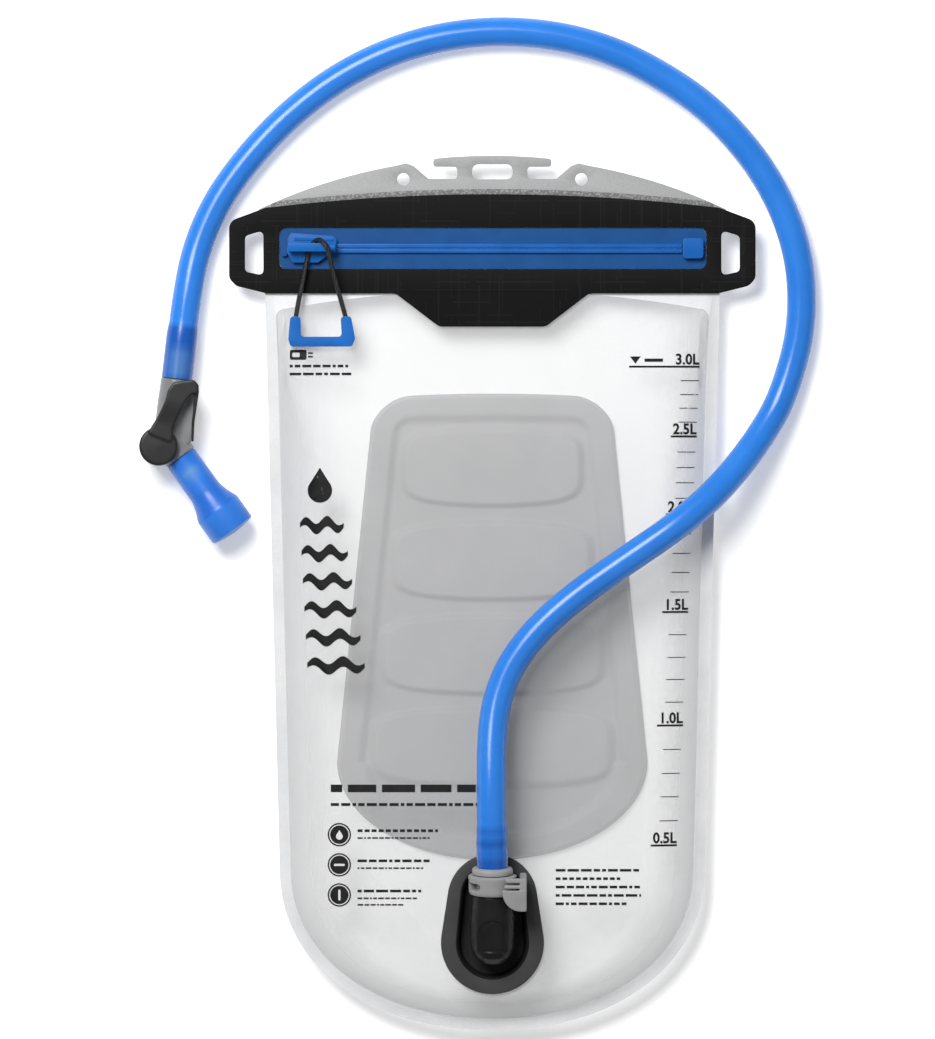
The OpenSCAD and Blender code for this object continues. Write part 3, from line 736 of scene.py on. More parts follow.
def makeFilms():
    bm = loft(frontRings(), capStart=False)
    for face in bm.faces:
        inner = min(v.co.z for v in face.verts) > film["weldZ"] + film["thick"] + 0.1
        face.material_index = 0 if inner else 1
    if sum(f.normal.z * f.calc_area() for f in bm.faces) < 0:
        bmesh.ops.reverse_faces(bm, faces=bm.faces[:])
    tree = BVHTree.FromBMesh(bm)
    bmesh.ops.solidify(bm, geom=bm.faces[:], thickness=film["thick"])
    cutter = plate(teardrop(15.2, port["upperY"], 17.6, port["y"]), 17, 32, rim=0)
    addShape(cutter, plate(roundBox(zipPart["windowX"], zipPart["y"], 196, 16, 6), 10, 15, rim=0))
    bm = cutAway(bm, cutter)
    obj = finishPiece("front_film_milky", bm, [frontFilmMat, weldMat], "reservoir",
                      ["front_film"])
    markRise(obj)

    bm = loft(rearRings(), capStart=False)
    for face in bm.faces:
        face.material_index = 1 if min(v.co.z for v in face.verts) > 11.49 else 0
    if sum(f.normal.z * f.calc_area() for f in bm.faces) > 0:
        bmesh.ops.reverse_faces(bm, faces=bm.faces[:])
    bmesh.ops.solidify(bm, geom=bm.faces[:], thickness=film["thick"])
    obj = finishPiece("rear_film_milky", bm, [rearFilmMat, weldMat], "reservoir",
                      ["rear_film"])
    markRise(obj)
    return tree


# back panel

board = {"topHalf": 58.7, "lowHalf": 74.5, "topY": 95.6, "roundY": -81.0, "roundH": 47.3, "corner": 20.0,
         "base": 1.1, "rimTop": 4.2, "padTop": 4.4, "rim": 9.8, "wall": 4.4, "bow": 2.2,
         "padBow": 0.2,
         "pads": ((60.6, 44.3, 19.8), (15.4, 49.3, 19.6), (-29.6, 54.6, 19.8), (-74.2, 59.6, 19.8))}


def boardSide(y):
    top, r = board["topY"] - board["corner"], board["roundY"]
    if y > r:
        return board["topHalf"] + (board["lowHalf"] - board["topHalf"]) * max(0.0, top - y) / (top - r)
    return board["lowHalf"] * math.sqrt(max(0.0, 1 - ((r - y) / board["roundH"]) ** 2))


def boardHalf(y):
    rise = min(1.0, max(0.0, 1 - (board["topY"] - y) / board["corner"]))
    return boardSide(y) - board["corner"] * (1 - math.sqrt(1 - rise ** 2))


def boardHeight(x, y):
    r = board["roundY"]
    side, over, c = boardSide(y) - abs(x), board["topY"] - y, board["corner"]
    inset = min(side, over)
    if max(side, over) < c:
        inset = c - math.hypot(c - side, c - over)
    if y < r:
        spread = math.sqrt((x / board["lowHalf"]) ** 2 + ((r - y) / board["roundH"]) ** 2)
        inset = (1 - spread) * (board["roundH"] + 14 * abs(x) / board["lowHalf"])
    outer = smoothstep(inset / 1.8)
    fall = smoothstep((inset - board["rim"]) / board["wall"])
    z = board["base"] + (board["rimTop"] - board["base"]) * (outer - fall)
    for padY, half, tall in board["pads"]:
        u, v = abs(x) / half, abs(y - padY) / (tall * (1 - board["padBow"] * (x / half) ** 2))
        reach = (u ** 7 + v ** 5) ** (1 / 6)
        z = max(z, board["base"] + (board["padTop"] - board["base"]) * smoothstep((1.02 - reach) / 0.12))
    return z


def makeBoard():
    r = board["roundY"]
    rows = [r - board["roundH"] * math.sin(math.radians(88.5 * (1 - i / 44))) for i in range(44)]
    top = board["topY"] - board["corner"]
    rows += [r + (top - r) * i / 200 for i in range(200)]
    rows += [top + board["corner"] * math.sin(math.radians(90 * i / 20)) for i in range(21)]
    bm = bmesh.new()
    across = 150
    bmesh.ops.create_grid(bm, x_segments=across, y_segments=len(rows) - 1, size=1.0)
    for v in bm.verts:
        y = rows[round((v.co.y + 1) / 2 * (len(rows) - 1))]
        x = v.co.x * boardHalf(y)
        bow = board["bow"] * (x / board["topHalf"]) ** 2 * smoothstep((y - 70) / 26)
        v.co = (x, y - bow, boardHeight(x, y))
    rim = [e for e in bm.edges if e.is_boundary]
    made = bmesh.ops.extrude_edge_only(bm, edges=rim)["geom"]
    low = [g for g in made if isinstance(g, bmesh.types.BMVert)]
    for v in low:
        v.co.z = 0.0
    bmesh.ops.holes_fill(bm, edges=[e for e in bm.edges if e.is_boundary], sides=0)
    bmesh.ops.recalc_face_normals(bm, faces=bm.faces[:])
    finishPiece("back_board", bm, boardMat, "reservoir", ["back_panel"], sharp=60)


# zip panel, zip and hanger

zipPart = {"panelLow": 12.8, "panelHigh": 14.4, "windowX": 0.25, "y": 164.95, "tapeTop": 13.6,
           "railWide": 2.32, "railGap": 0.05, "railHigh": 1.6, "left": -98.3, "right": 91.0,
           "archR": 900, "archTop": 190.9}


# the panel's upper edge
def panelArch(x):
    return zipPart["archTop"] - zipPart["archR"] + math.sqrt(zipPart["archR"] ** 2 - x * x)


def panelOutline():
    arch = [(x, panelArch(x)) for x in range(105, -1, -7)]
    right = [(0, 127.5), (25.5, 127.5), (46.5, 143.5), (108.5, 143.5), (122.6, 147.0), (126, 150.4),
             (126, 176.0), (124.2, 178.6), (108.2, 184.6)]
    return roundCorners(mirrored(right + arch), 5.0, 6, 8.0)


def tabSlot(way):
    corners = [(109.6, 152.0), (118.4, 153.9), (118.4, 170.9), (109.6, 173.6)]
    return roundCorners([(way * x, y) for x, y in corners], 2.4, 5)


def makePanel():
    window = roundBox(zipPart["windowX"], zipPart["y"], 204.7, 19.9, 4.0)
    bm = plate(panelOutline(), zipPart["panelLow"], zipPart["panelHigh"],
               [window, tabSlot(1), tabSlot(-1)], rim=0.45, segments=3)
    finishPiece("zip_panel_fabric", bm, panelMat, "reservoir", ["zip_panel"])
    for name in ("zip_tape_upper", "zip_tape_lower"):
        paintNode(name, tapeMat)


def paintNode(name, mat):
    obj = nodes[name]
    obj.data.materials.clear()
    obj.data.materials.append(mat)


def makeRails():
    low = zipPart["tapeTop"]
    for name, way in (("upper", 1), ("lower", -1)):
        middle = zipPart["y"] + way * (zipPart["railGap"] + zipPart["railWide"]) / 2
        bm = bmesh.new()
        bmesh.ops.create_cube(bm, size=1.0)
        length = zipPart["right"] - zipPart["left"]
        bmesh.ops.scale(bm, vec=(length, zipPart["railWide"], zipPart["railHigh"]), verts=bm.verts[:])
        bmesh.ops.translate(bm, verts=bm.verts[:],
                            vec=(zipPart["left"] + length / 2, middle, low + zipPart["railHigh"] / 2))
        high = [e for e in bm.edges if all(v.co.z > low + 1 for v in e.verts)]
        bevelEdges(bm, high, 0.6, 4)
        finishPiece("zip_rail_blue_" + name, bm, railMat, "reservoir", ["zip_rail_" + name])
    bm = plate(roundBox(96, zipPart["y"], 9.9, 9.7, 2.0), low, low + 3.6, rim=1.0, segments=4)
    finishPiece("zip_end_block", bm, railMat, "reservoir", ["zip_end_stop"])
    paintNode("zip_start_stop", tapeMat)


hanger = {"low": 11.2, "high": 12.8, "edgeR": 263, "edgeTop": 208.7, "barR": 271, "barTop": 209.4,
          "slotY": 201.7, "holeX": 42.6, "holeY": 198.1, "holeR": 3, "bandLow": 12.72, "bandHigh": 13.15}


# the sheet's curved upper edge
def hangerEdge(x):
    return hanger["edgeTop"] - hanger["edgeR"] + math.sqrt(hanger["edgeR"] ** 2 - x * x)


def hangerOutline():
    ear = [(x, hangerEdge(x)) for x in range(112, 45, -6)]
    bar = [(x, hanger["barTop"] - hanger["barR"] + math.sqrt(hanger["barR"] ** 2 - x * x))
           for x in (28.3, 20, 10, 0)]
    right = [(0, 182.0), (112, 182.0)] + ear + [(41.2, 205.8), (37.6, 204.4), (30.6, 198.3), (16.8, 198.3),
             (16.8, 204.1), (28.3, 204.1)] + bar
    return roundCorners(mirrored(right), 1.7, 5)


def makeHanger():
    h = hanger
    slotHole = roundBox(0, h["slotY"], 19.4, 7.2, 3.4, 8)
    holes = [arcPoints(way * h["holeX"], h["holeY"], h["holeR"], h["holeR"], 0, 345, 23) for way in (1, -1)]
    bm = plate(hangerOutline(), h["low"], h["high"], [slotHole] + holes, rim=0.35, segments=2)
    finishPiece("hanger_frosted", bm, hangerMat, "reservoir", ["hanger_sheet"])
    arch = [(x, panelArch(x)) for x in range(106, -107, -4)]
    upper = [(x, min(y + 2.5, hangerEdge(x) - 0.05)) for x, y in arch]
    lower = [(x, y - 1.5) for x, y in arch]
    bm = plate(upper + lower[::-1], h["bandLow"], h["bandHigh"], rim=0.12, segments=2)
    finishPiece("hanger_weld_band", bm, seamMat, "reservoir")


# slider and pull

slider = {"left": -98.3, "right": -74.6, "low": 158.2, "high": 172.3, "base": 15.4, "top": 16.9,
          "ridgeEnd": -77.6, "bridgeY": 165.3, "bridgeZ": 21.8}


def makeSlider():
    s = slider
    outline = roundCorners([(s["left"], 163.0), (-95.6, s["low"]), (-83.4, s["low"]), (-78.2, 162.0),
                            (s["right"], 163.2), (s["right"], 169.4), (-76.0, 170.8), (-96.2, s["high"]),
                            (-98.0, 169.6)], 0.9, 4)
    bm = plate(outline, s["base"], s["top"], rim=0.6, segments=3)
    for low, high, x0, x1 in ((159.0, 162.1, -95.0, -84.0), (167.8, 170.3, -96.4, -76.2)):
        skirt = plate(roundBox((x0 + x1) / 2, (low + high) / 2, x1 - x0, high - low, 0.8),
                      13.8, s["base"] + 0.4, rim=0.3, segments=2)
        addShape(bm, skirt)
    for i in range(5):  # finger ribs on the left end
        x = -93.6 + 1.9 * i
        rib = plate(roundBox(x, 160.4, 0.6, 2.6, 0.28), s["top"] - 0.2, s["top"] + 0.35, rim=0.15, segments=2)
        addShape(bm, rib)
    finishPiece("slider_moulding", bm, sliderMat, "slider", ["slider_body"])

    ridgeStart = s["left"] + 0.5
    ridge = roundBox((ridgeStart + s["ridgeEnd"]) / 2, s["bridgeY"], s["ridgeEnd"] - ridgeStart, 4.0, 0.8)
    bm = plate(ridge, s["bridgeZ"] - 1.3, s["bridgeZ"] + 1.3, rim=0.6, segments=3)
    rod = lathe([(0, 0), (1.8, 0), (1.8, 3.6), (0, 3.6)], 24)
    addShape(bm, placed(rod, Matrix.Translation((s["right"] - 4.2, s["bridgeY"], s["bridgeZ"]))
                        @ Matrix.Rotation(math.radians(90), 4, "Y")))
    for x0, x1 in ((s["left"] + 0.8, s["left"] + 3.0), (s["right"] - 1.6, s["right"] - 0.1)):
        post = plate(roundBox((x0 + x1) / 2, s["bridgeY"], x1 - x0, 4.0, 0.7),
                     s["top"] - 0.3, s["bridgeZ"], rim=0)
        addShape(bm, post)
    wing = plate(roundCorners([(s["left"] + 3.5, 168.6), (s["right"] - 1.2, 168.4), (s["right"] - 1.6, 169.9),
                               (s["left"] + 3.4, 171.2)], 0.6, 4), s["top"] - 0.2, s["top"] + 0.3,
                 rim=0.25, segments=2)
    addShape(bm, wing)
    finishPiece("slider_ridge", bm, sliderMat, "slider", ["slider_bridge"])


pull = {"cordR": 1.15, "z": 18.5, "turn": 3.55}


def pullPath():
    z, turn, up = pull["z"], pull["turn"], slider["bridgeZ"]
    legs = [(-94.3, 130, z), (-92.6, 140, z - 0.1), (-90.5, 150, z - 0.2), (-88.6, 160, up - turn - 0.2)]
    for a in range(-90, 91, 30):
        t = math.radians(a)
        legs.append((-87.2 + 8.2 * (a + 90) / 180, slider["bridgeY"] + turn * math.cos(t),
                     up + turn * math.sin(t)))
    return legs + [(-77.5, 159.5, up + 2.7), (-75.2, 150, up + 0.7), (-72.4, 140, z + 1.6), (-69.6, 130, z)]


def makePull():
    line, _ = evenly(smoothLine(pullPath(), 8), 0.8)
    bm = loft(sweepRings(line, lambda i: pull["cordR"], 16))
    finishPiece("pull_cord_braided", bm, cordMat, "pull", ["pull_cord"], sharp=60)
    outline = [(-96.6, 132.3), (-97.6, 121.6), (-96.6, 117.9), (-67.2, 117.9), (-65.6, 121.6), (-67.6, 132.3),
               (-72.6, 132.3), (-72.0, 122.6), (-91.6, 122.6), (-91.7, 132.3)]
    bm = plate(roundCorners(outline, 1.9, 6), pull["z"] - 1.6, pull["z"] + 1.6, rim=1.2, segments=5)
    finishPiece("pull_grip_soft", bm, gripMat, "pull", ["pull_grip"])


# port and coupling

port = {"y": -167.0, "upperY": -144.5, "z": 33.2, "tilt": 8.0, "barrel": 10.6, "socket": 24.0,
        "collar": 9.4, "collarR": 11.3}
toPort = Matrix.Translation((0, port["y"], port["z"])) @ Matrix.Rotation(math.radians(port["tilt"]), 4, "X")
alongY = Matrix.Rotation(math.radians(-90), 4, "X")  # turns a lathed piece from Z to Y


def makeFlange():
    mouth = teardrop(14.6, port["upperY"], 17.2, port["y"])
    bm = plate(teardrop(21.4, -145.8, 24.6, -166.8), 26.0, 27.6, [mouth], rim=0.5, segments=3)
    tubWall = ((0.9, 27.62), (0.55, 27.9), (0.0, 27.6), (-0.6, 26.4), (-0.8, 22.6), (-1.6, 21.3),
               (-3.4, 21.0))  # outward shift and height
    rings = [[Vector((x, y, z)) for x, y in teardrop(14.5 + d, port["upperY"], 16.6 + d, port["y"])]
             for d, z in tubWall]
    tub = loft(rings, capStart=False)
    bmesh.ops.solidify(tub, geom=tub.faces[:], thickness=0.9)
    for face in tub.faces:
        face.material_index = 1
    addShape(bm, tub)
    finishPiece("port_flange_soft", bm, [flangeMat, tubMat], "reservoir", ["port_flange"])


def makeElbow():
    r = port["barrel"]
    bm = lathe([(0, -r), (r * 0.5, -r * 0.86), (r * 0.82, -r * 0.57), (r * 0.97, -r * 0.22), (r, 2), (r, 12),
                (9.6, 23.2), (9.2, 24), (0, 24)])
    placed(bm, alongY)
    foot = lathe([(0, -12.2), (8.6, -12.2), (8.6, 0), (0, 0)])
    addShape(bm, foot)
    bm = melded(bm, 0.34, 4)
    bore = lathe([(0, -4), (6.6, -4), (6.6, 10.5), (5.0, 10.5), (5.0, 12.0), (8.0, 12.0), (8.0, 25),
                  (0, 25)], 48)
    bm = cutAway(bm, placed(bore, alongY))
    for v in bm.verts:  # sunk arch on the barrel's top
        x, y, z = v.co
        if z > 0 and y < 14 and math.hypot(x, z) > 8.5:
            width = 6.7 if y < 6.5 else 6.7 * math.sqrt(max(0.0, 1 - ((y - 6.5) / 6.3) ** 2))
            inside = min(width - abs(x), y + 2.6)
            sink = 0.75 * smoothstep(inside / 0.8 + 0.5)
            shade = 0.55 * smoothstep((1.6 - abs(y + 2.6)) / 1.6) * (abs(x) < 6.7)
            v.co -= Vector((x, 0, z)).normalized() * (sink + 0.3 * shade)
    finishPiece("port_elbow_black", bm, elbowMat, "reservoir", ["port_elbow"],
                place=toPort, sharp=70)


def makeCollar():
    r, s, c = port["collarR"], port["socket"], port["collar"]
    bm = lathe([(8.05, s), (r - 1.4, s), (r - 0.5, s + 0.35), (r - 0.1, s + 1.1), (r, s + 2.2), (r, s + 7),
                (r + 0.3, s + 7.8), (r + 0.2, s + 8.8), (r - 0.7, s + c), (8.05, s + c), (8.05, s)], 72)
    placed(bm, alongY)
    boss = plate(roundBox(6.6, s + 5.3, 6.6, 6.0, 1.2), 8.2, 11.5, rim=0.3, segments=2)
    addShape(bm, boss)
    cutter = plate(roundBox(-9.2, s + 4.6, 6.6, 3.4, 1.7), 0, 14, rim=0)
    hole = placed(lathe([(0, 9.4), (2.3, 9.4), (2.3, 14), (0, 14)], 24),
                  Matrix.Rotation(math.radians(90), 4, "Y"))
    addShape(cutter, placed(hole, Matrix.Translation((0, s + 5.4, 0))))
    bm = cutAway(bm, cutter)
    finishPiece("coupling_collar_grey", bm, fittingMat, "reservoir", ["coupling_collar"],
                place=toPort)


button = {"low": 11.8, "high": 14.4, "springX": 9.75, "springR": 1.7, "wireR": 0.3, "springLong": 2.85}


def makeButton():
    low, high = button["low"], button["high"]
    bm = plate(roundBox(11.2, 32.7, 10.0, 1.9, 0.8), low, high, rim=0.4)
    addShape(bm, plate(roundBox(14.6, 25.8, 3.2, 15.7, 0.8), -4, high, rim=0.5))
    addShape(bm, plate(roundBox(9.9, 29.7, 8.6, 1.7, 0.8), low, high, rim=0.5))
    lobe = [(4.7, 28.0)] + arcPoints(13.3, 27.2, 8.6, 9.2, 180, 270, 10) + [(16.2, 18.0), (16.2, 28.0)]
    addShape(bm, plate(roundCorners(lobe, 0.8, 4), low, high + 0.2, rim=0.6))
    bm = melded(bm, 0.3, 3)
    finishPiece("release_button_grey", bm, fittingMat, "button", ["release_button"],
                place=toPort, sharp=70)


# the coil shortens as the button goes in
def makeButtonSpring():
    y, x, r = port["socket"] + 5.4, button["springX"], button["springR"]
    steps = 72  # three turns
    coil = [Vector((x + button["springLong"] * i / steps, y + r * math.cos(math.radians(15 * i)),
                    r * math.sin(math.radians(15 * i)))) for i in range(steps + 1)]
    bm = loft(sweepRings(coil, lambda i: button["wireR"], 8))
    obj = finishPiece("button_spring_coil", bm, wireMat, "reservoir", ["button_spring"],
                      place=toPort, sharp=70)
    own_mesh(obj)


def makeConnector():
    s = port["socket"] + port["collar"] + 0.2
    bm = lathe([(3.0, 12.1), (7.4, 12.1), (7.85, 12.8), (7.85, 15.3), (6.8, 15.3), (6.8, 16.7), (7.85, 16.7),
                (7.85, 19.3), (6.8, 19.3), (6.8, 20.7), (7.85, 20.7), (7.85, s), (9.2, s), (9.7, s + 0.4),
                (9.8, s + 1.4), (9.6, s + 2.6), (9.0, s + 3.2), (7.6, s + 3.4), (3.0, s + 3.4),
                (3.0, 12.1)], 64)
    placed(bm, alongY)
    return finishPiece("hose_connector_grey", bm, fittingMat, "hose", ["hose_connector"],
                       place=toPort)


# shut-off valve and bite valve

valve = {"z": 11.7, "hub": (-159.5, 70.2), "inlet": (-151.0, 102.4), "inletTurn": -6.97,
         "outlet": (-149.3, 64.9), "outletTurn": -144.4, "leverLow": 20.5, "leverHigh": 24.4}


def alongPipe(spot, turn):
    return Matrix.Translation((*spot, valve["z"])) @ Matrix.Rotation(math.radians(turn), 4, "Z") @ alongY


def makeValve():
    inletPlace = alongPipe(valve["inlet"], valve["inletTurn"])
    outletPlace = alongPipe(valve["outlet"], valve["outletTurn"])
    bm = placed(lathe([(0, -29), (7.9, -29), (7.9, -12), (7.6, -0.1), (0, -0.1)]), inletPlace)
    addShape(bm, placed(lathe([(0, -9.6), (7.9, -9.6), (8.2, -1.2), (8.2, 0), (0, 0)]), outletPlace))
    hub = lathe([(0, -8.6), (8.6, -8.6), (8.8, 8.4), (0, 8.4)])
    addShape(bm, placed(hub, Matrix.Translation((*valve["hub"], valve["z"]))))
    web = plate([(-160.5, 84), (-152, 98), (-142.4, 97), (-142.8, 80), (-144.2, 72), (-147, 70), (-158, 66)],
                6.5, 17.5, rim=1.0)
    addShape(bm, web)
    bm = melded(bm, 0.5, 6)
    for v in bm.verts:
        v.co.z = min(v.co.z, 20.1)
    body = finishPiece("valve_shell", bm, valveMat, "hose", ["valve_body"], sharp=70)
    barbs = placed(lathe([(3, -0.5), (4.8, -0.5), (4.8, 4), (5.6, 4.2), (4.8, 8), (5.6, 8.2), (4.8, 12),
                          (5.6, 12.2), (4.4, 17), (3, 17), (3, -0.5)], 40), inletPlace)
    nozzle = lathe([(2.6, -0.5), (5.0, -0.5), (5.0, 12), (4.6, 16), (2.6, 16), (2.6, -0.5)], 40)
    addShape(barbs, placed(nozzle, outletPlace))
    inner = finishPiece("valve_barbs", barbs, valveMat, "hose")
    return [body, inner]


def makeLever():
    low, high = valve["leverLow"], valve["leverHigh"]
    hub = lathe([(0, low), (9.0, low), (9.35, low + 0.8), (9.35, high - 0.9), (8.7, high - 0.1),
                 (0, high + 0.15)])
    bm = placed(hub, Matrix.Translation((*valve["hub"], 0)))
    arm = roundCorners([(-164.6, 76.5), (-162.6, 80.2), (-161.0, 82.6), (-158.4, 87.4), (-156.3, 92.2),
                        (-155.0, 97.2), (-152.6, 100.5), (-148.0, 101.5), (-142.6, 102.0), (-140.2, 99.4),
                        (-140.4, 95.2), (-143.6, 95.0), (-147.4, 90.0), (-149.9, 85.0), (-152.4, 78.6),
                        (-153.4, 72.0)], 1.8, 5)
    armPlate = plate(arm, low, high + 0.3, rim=1.3, segments=4)
    addShape(bm, armPlate)
    strip = [(-140.0, 97), (-141.4, 87.7), (-142.3, 81.3), (-142.7, 72.4), (-143.9, 72.4), (-143.7, 81.3),
             (-142.9, 87.7), (-142.6, 96)]
    addShape(bm, plate(strip, low, high - 0.4, rim=0.3))
    bm = melded(bm, 0.42, 5)
    for v in bm.verts:  # the arm is crowned, and it rises towards its end
        away = (Vector((v.co.x, v.co.y)) - Vector(valve["hub"])).length
        if v.co.z > low + 1.5:
            v.co.z += 0.9 * smoothstep((away - 10) / 14)
    finishPiece("lever_black_arm", bm, leverMat, "lever", ["shutoff_lever"], sharp=70)


bitePart = {"stem": 7.9, "wide": 11.4, "slit": (12.0, 0.35, 1.6), "slitAt": 44.2}


def makeBite():
    stem, wide = bitePart["stem"], bitePart["wide"]
    profile = [(5.1, 0.15), (stem - 0.5, 0.15), (stem, 0.6), (stem, 8), (stem + 0.1, 20), (stem + 0.5, 22.4),
               (9.5, 26.0), (11.0, 29.4), (wide, 30.6), (wide + 0.05, 31.4), (wide, 42.0), (11.0, 42.9),
               (9.0, 43.4), (5.0, 44.0), (0, 44.3)]
    inner = [(0, 40.2), (3.4, 40.0), (3.4, 17), (5.1, 17), (5.1, 0.15)]
    bm = lathe(profile + inner, 72)
    cutter = bmesh.new()
    bmesh.ops.create_cube(cutter, size=1.0)
    bmesh.ops.scale(cutter, vec=bitePart["slit"], verts=cutter.verts[:])
    bmesh.ops.translate(cutter, vec=(0, 0, bitePart["slitAt"]), verts=cutter.verts[:])
    bm = cutAway(bm, cutter)
    obj = finishPiece("bite_valve_soft", bm, biteMat, "bite", ["bite_valve"],
                      place=alongPipe(valve["outlet"], valve["outletTurn"]))
    turn = alongPipe(valve["outlet"], valve["outletTurn"]).inverted()
    values = []
    for v in obj.data.vertices:
        h = (turn @ (v.co / mm)).z
        # on the stem the pale barb colour is kept to faces turned up or down: partly the nozzle seen through,
        # partly a painted highlight along the top
        barbAndHighlight = 0.95 * abs(v.normal.z) ** 2 * smoothstep((h - 2) / 5) * smoothstep((22 - h) / 7)
        values.append(max(0.5 * smoothstep((h - 30.6) / 0.6), barbAndHighlight))
    markFittedAndHighlight(obj, values)
    return obj


# print on the front

marks = {"right": ((74.9, 97.8), (37.7, 95.4), (-9.0, 93.7), (-63.2, 91.2), (-120.5, 88.2)),
         "topLine": (108.3, 65.4, 99.1), "line": 0.95, "long": 12.6, "figure": 5.1, "lift": 0.09,
         "thin": 0.42, "short": 8.7, "tickX": 98.9, "tickY": 104.0, "tickSlant": 10.2 / 210.0}


def inkBar(bm, x0, x1, y0, y1):
    count = max(1, round((x1 - x0) / 2.5))
    for i in range(count):
        a, b = x0 + (x1 - x0) * i / count, x0 + (x1 - x0) * (i + 1) / count
        bm.faces.new([bm.verts.new((x, y, 0)) for x, y in ((a, y0), (b, y0), (b, y1), (a, y1))])


def inkShape(bm, outline, holes=()):
    edges = []
    for points in (outline, *holes):
        edges += addLoop(bm, points)[1]
    bmesh.ops.triangle_fill(bm, use_beauty=True, use_dissolve=False, edges=edges)


def inkFigure(bm, text, right, y, height):
    data = bpy.data.curves.new("figure", "FONT")
    data.body = text
    data.size = height / 0.72
    data.align_x = "RIGHT"
    data.offset = 0.22
    data.space_character = 1.02
    data.resolution_u = 3
    obj = bpy.data.objects.new("figure", data)
    scene.collection.objects.link(obj)
    graph = bpy.context.evaluated_depsgraph_get()
    mesh = bpy.data.meshes.new_from_object(obj.evaluated_get(graph))
    part = bmesh.new()
    part.from_mesh(mesh)
    bpy.data.objects.remove(obj)
    bpy.data.meshes.remove(mesh)
    placed(part, Matrix.Translation((right, y, 0)) @ Matrix.Diagonal((0.92, 1.0, 1.0, 1.0)))
    addShape(bm, part)


# a row of short bars in place of a line of small print
def inkWords(bm, x0, x1, y, height, seed):
    x = x0
    k = seed
    while x < x1 - height * 0.5:
        k = (k * 5 + 3) % 11
        wide = min(x1 - x, height * (1.2 + 0.32 * k))
        inkBar(bm, x, x + wide, y - height / 2, y + height / 2)
        x += wide + height * 0.75


# a water drop with its point up
def dropOutline(cx, cy, size):
    low = arcPoints(cx, cy - 0.15 * size, 0.62 * size, 0.62 * size, 150, 390, 20)
    return low + [(cx + 0.3 * size, cy + 0.52 * size), (cx, cy + size), (cx - 0.3 * size, cy + 0.52 * size)]


# one lying wave with pointed ends
def waveBand(cx, cy, wide, thick, swing):
    steps = 36
    over, under = [], []
    for i in range(steps + 1):
        share = i / steps
        x = cx + wide * (share - 0.5)
        y = cy + swing * math.sin(share * math.pi * 4.0)
        half = thick / 2 * math.sin(math.pi * min(0.97, max(0.03, share))) ** 0.3
        over.append((x, y + half))
        under.append((x, y - half))
    return over + under[::-1]


def layInk(bm, tree):
    bmesh.ops.remove_doubles(bm, verts=bm.verts[:], dist=1e-5)
    for _ in range(2):
        long = [e for e in bm.edges if e.calc_length() > 3.0]
        if long:
            bmesh.ops.subdivide_edges(bm, edges=long, cuts=1)
            bmesh.ops.triangulate(bm, faces=[f for f in bm.faces if len(f.verts) > 4])
    for v in bm.verts:
        spot = tree.ray_cast(Vector((v.co.x, v.co.y, 60)), Vector((0, 0, -1)))[0]
        v.co.z = (spot.z if spot else film["weldZ"]) + marks["lift"]
    bmesh.ops.recalc_face_normals(bm, faces=bm.faces[:])
    down = [f for f in bm.faces if f.normal.z < 0]
    bmesh.ops.reverse_faces(bm, faces=down)
    made = bmesh.ops.extrude_face_region(bm, geom=bm.faces[:])["geom"]
    bmesh.ops.translate(bm, vec=(0, 0, 0.05), verts=[g for g in made if isinstance(g, bmesh.types.BMVert)])
    bmesh.ops.recalc_face_normals(bm, faces=bm.faces[:])
    return bm


def makeScalePrint(tree):
    bm = bmesh.new()
    y, x0, x1 = marks["topLine"]
    inkBar(bm, x0, x1, y - marks["line"] / 2, y + marks["line"] / 2)
    inkFigure(bm, "3.0L", x1 - 0.2, y + 1.2, marks["figure"])
    inkShape(bm, [(x0 + 0.4, y + 4.9), (x0 + 3.0, y + 1.4), (x0 + 5.6, y + 4.9)])
    inkBar(bm, x0 + 7.4, x0 + 16.2, y + 2.3, y + 3.9)
    for (lineY, right), text in zip(marks["right"], ("2.5L", "2.0L", "1.5L", "1.0L", "0.5L")):
        inkBar(bm, right - marks["long"], right, lineY - marks["line"] / 2, lineY + marks["line"] / 2)
        inkFigure(bm, text, right - 0.2, lineY + 1.2, marks["figure"])
    heights = [y] + [m[0] for m in marks["right"]]
    for a, b in zip(heights, heights[1:]):
        for k in range(1, 5):
            tickY = a + (b - a) * (k / 5 if k < 3 else k / 5 - 0.005)
            right = marks["tickX"] - marks["tickSlant"] * (marks["tickY"] - tickY)
            inkBar(bm, right - marks["short"], right, tickY - marks["thin"] / 2, tickY + marks["thin"] / 2)
    finishPiece("printed_scale", layInk(bm, tree), inkMat, "reservoir", sharp=80)


label = {"waves": 6, "signX": -73.1, "signsY": (-115.3, -129.7, -144.1), "signText": -64.4,
         "careX": 30.2, "careEnds": (70.0, 61.0, 72.0, 71.0, 64.0),
         "rows": ((-77.2, -4.0, -93.2, 3.6, 4), (-77.2, -4.0, -100.9, 1.4, 7),
                  (-64.4, -42.0, -148.8, 0.8, 3), (-97.0, -69.0, 108.6, 1.25, 6),
                  (-97.0, -67.5, 104.8, 1.25, 8))}  # left, right, y, height and seed of single lines


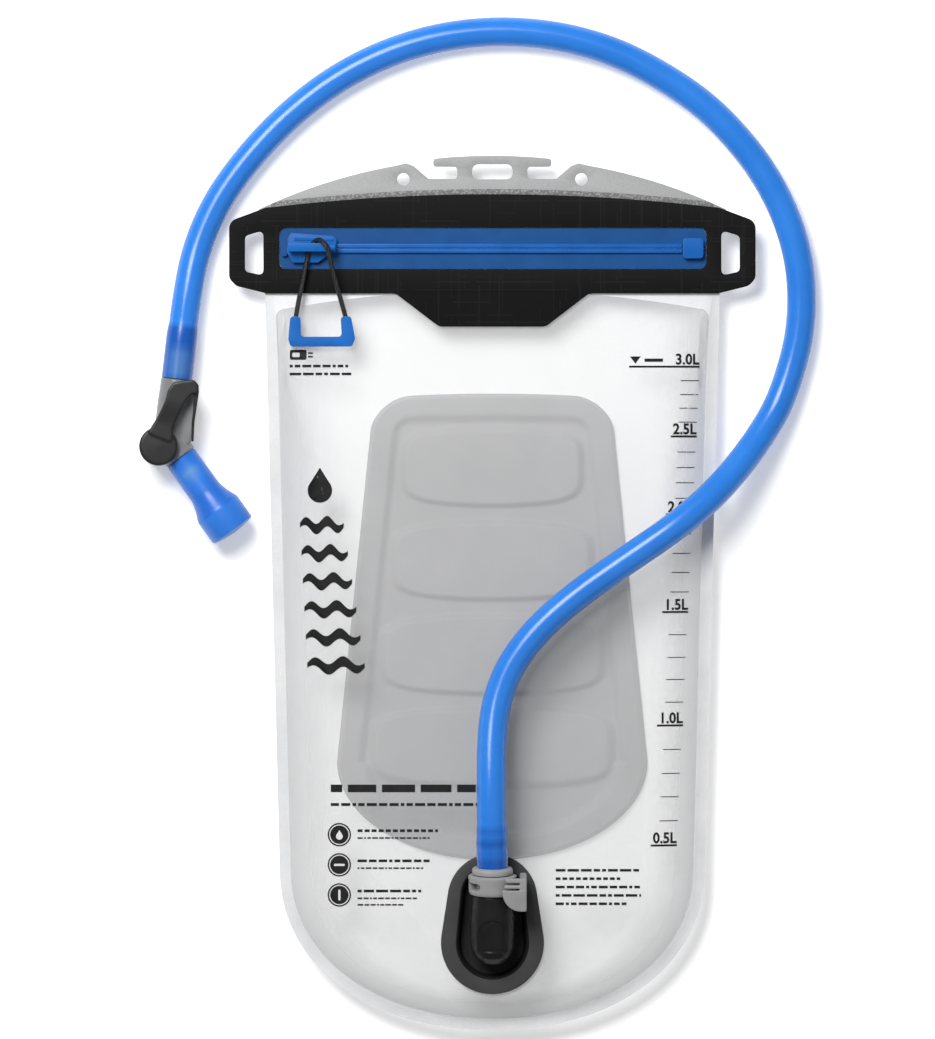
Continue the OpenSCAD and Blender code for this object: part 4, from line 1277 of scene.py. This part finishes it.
def makeLabelPrint(tree):
    bm = bmesh.new()
    inkShape(bm, dropOutline(-82.4, 50.5, 9.5))
    for i in range(label["waves"]):
        inkShape(bm, waveBand(-81.5 + 1.35 * i, 32.5 - 13.4 * i, 21.0 + 1.3 * i, 5.2, 1.9))
    cx, textX = label["signX"], label["signText"]
    for i, cy in enumerate(label["signsY"]):
        disc, inner, core = (arcPoints(cx, cy, r, r, 0, 350, 35) for r in (5.6, 4.9, 4.4))
        inkShape(bm, disc, [inner])
        sign = [dropOutline(cx, cy - 0.4, 2.6), roundBox(cx, cy, 5.2, 1.1, 0.5),
                roundBox(cx, cy, 1.1, 5.2, 0.5)][i]
        inkShape(bm, core, [sign])
        inkWords(bm, textX, -26.0 - 4.0 * i, cy + 1.9, 1.3, 2 + i)
        inkWords(bm, textX, -30.0 - 3.0 * i, cy - 1.6, 0.8, 5 + i)
    for i, right in enumerate(label["careEnds"]):
        inkWords(bm, label["careX"], right, -132.3 - 4.0 * i, 1.25, 1 + i)
    inkShape(bm, roundBox(-92.9, 114.0, 8.0, 4.8, 1.0), [roundBox(-94.0, 114.0, 3.6, 2.2, 0.6)])
    inkBar(bm, -88.2, -85.9, 114.4, 115.2)
    inkBar(bm, -88.2, -85.9, 112.7, 113.5)
    for row in label["rows"]:
        inkWords(bm, *row)
    finishPiece("printed_label", layInk(bm, tree), inkMat, "reservoir", sharp=80)


# floor

ground = {"size": 3.0, "z": -0.0004, "glow": 0.30}


def makeFloor():
    bm = bmesh.new()
    bmesh.ops.create_grid(bm, x_segments=2, y_segments=2, size=ground["size"])
    bmesh.ops.translate(bm, vec=(0, 0, ground["z"]), verts=bm.verts[:])
    mesh = bpy.data.meshes.new("floor")
    bm.to_mesh(mesh)
    bm.free()
    mat, tree, shader, where = startMaterial("paleFloor")
    soft = noiseNode(tree, where, 3.0)
    tree.links.new(rampNode(tree, soft, [(0.3, (0.93, 0.93, 0.93)), (0.7, (0.95, 0.95, 0.95))]),
                   shader.inputs["Base Color"])
    shader.inputs["Roughness"].default_value = 0.9
    shader.inputs["Emission Color"].default_value = (1, 1, 1, 1)
    shader.inputs["Emission Strength"].default_value = ground["glow"]
    shader.inputs["Specular IOR Level"].default_value = 0.1
    mesh.materials.append(mat)
    floor = bpy.data.objects.new("floor", mesh)
    scene.collection.objects.link(floor)


# making

setCamera()
setStudio()
makeFloor()
print("camera, light and floor")

tubePiece, tubeLine, tubeLength = makeTube()
connector = makeConnector()
valvePieces = makeValve()
makeLever()
bite = makeBite()
print("drink tube", round(tubeLength, 3), "m, with its fittings")

filmTree = makeFilms()
makeBoard()
print("films and back panel")
makePanel()
makeRails()
makeHanger()
makeSlider()
makePull()
print("zip, hanger and pull")
makeFlange()
makeElbow()
makeCollar()
makeButton()
makeButtonSpring()
print("port and coupling")
makeScalePrint(filmTree)
makeLabelPrint(filmTree)
print("print")
for name, mat in (("poppet_spring", wireMat), ("poppet", poppetMat), ("poppet_seal", rubberMat),
                  ("connector_o_rings", rubberMat), ("plug_o_rings", rubberMat), ("valve_plug", plugMat)):
    paintNode(name, mat)
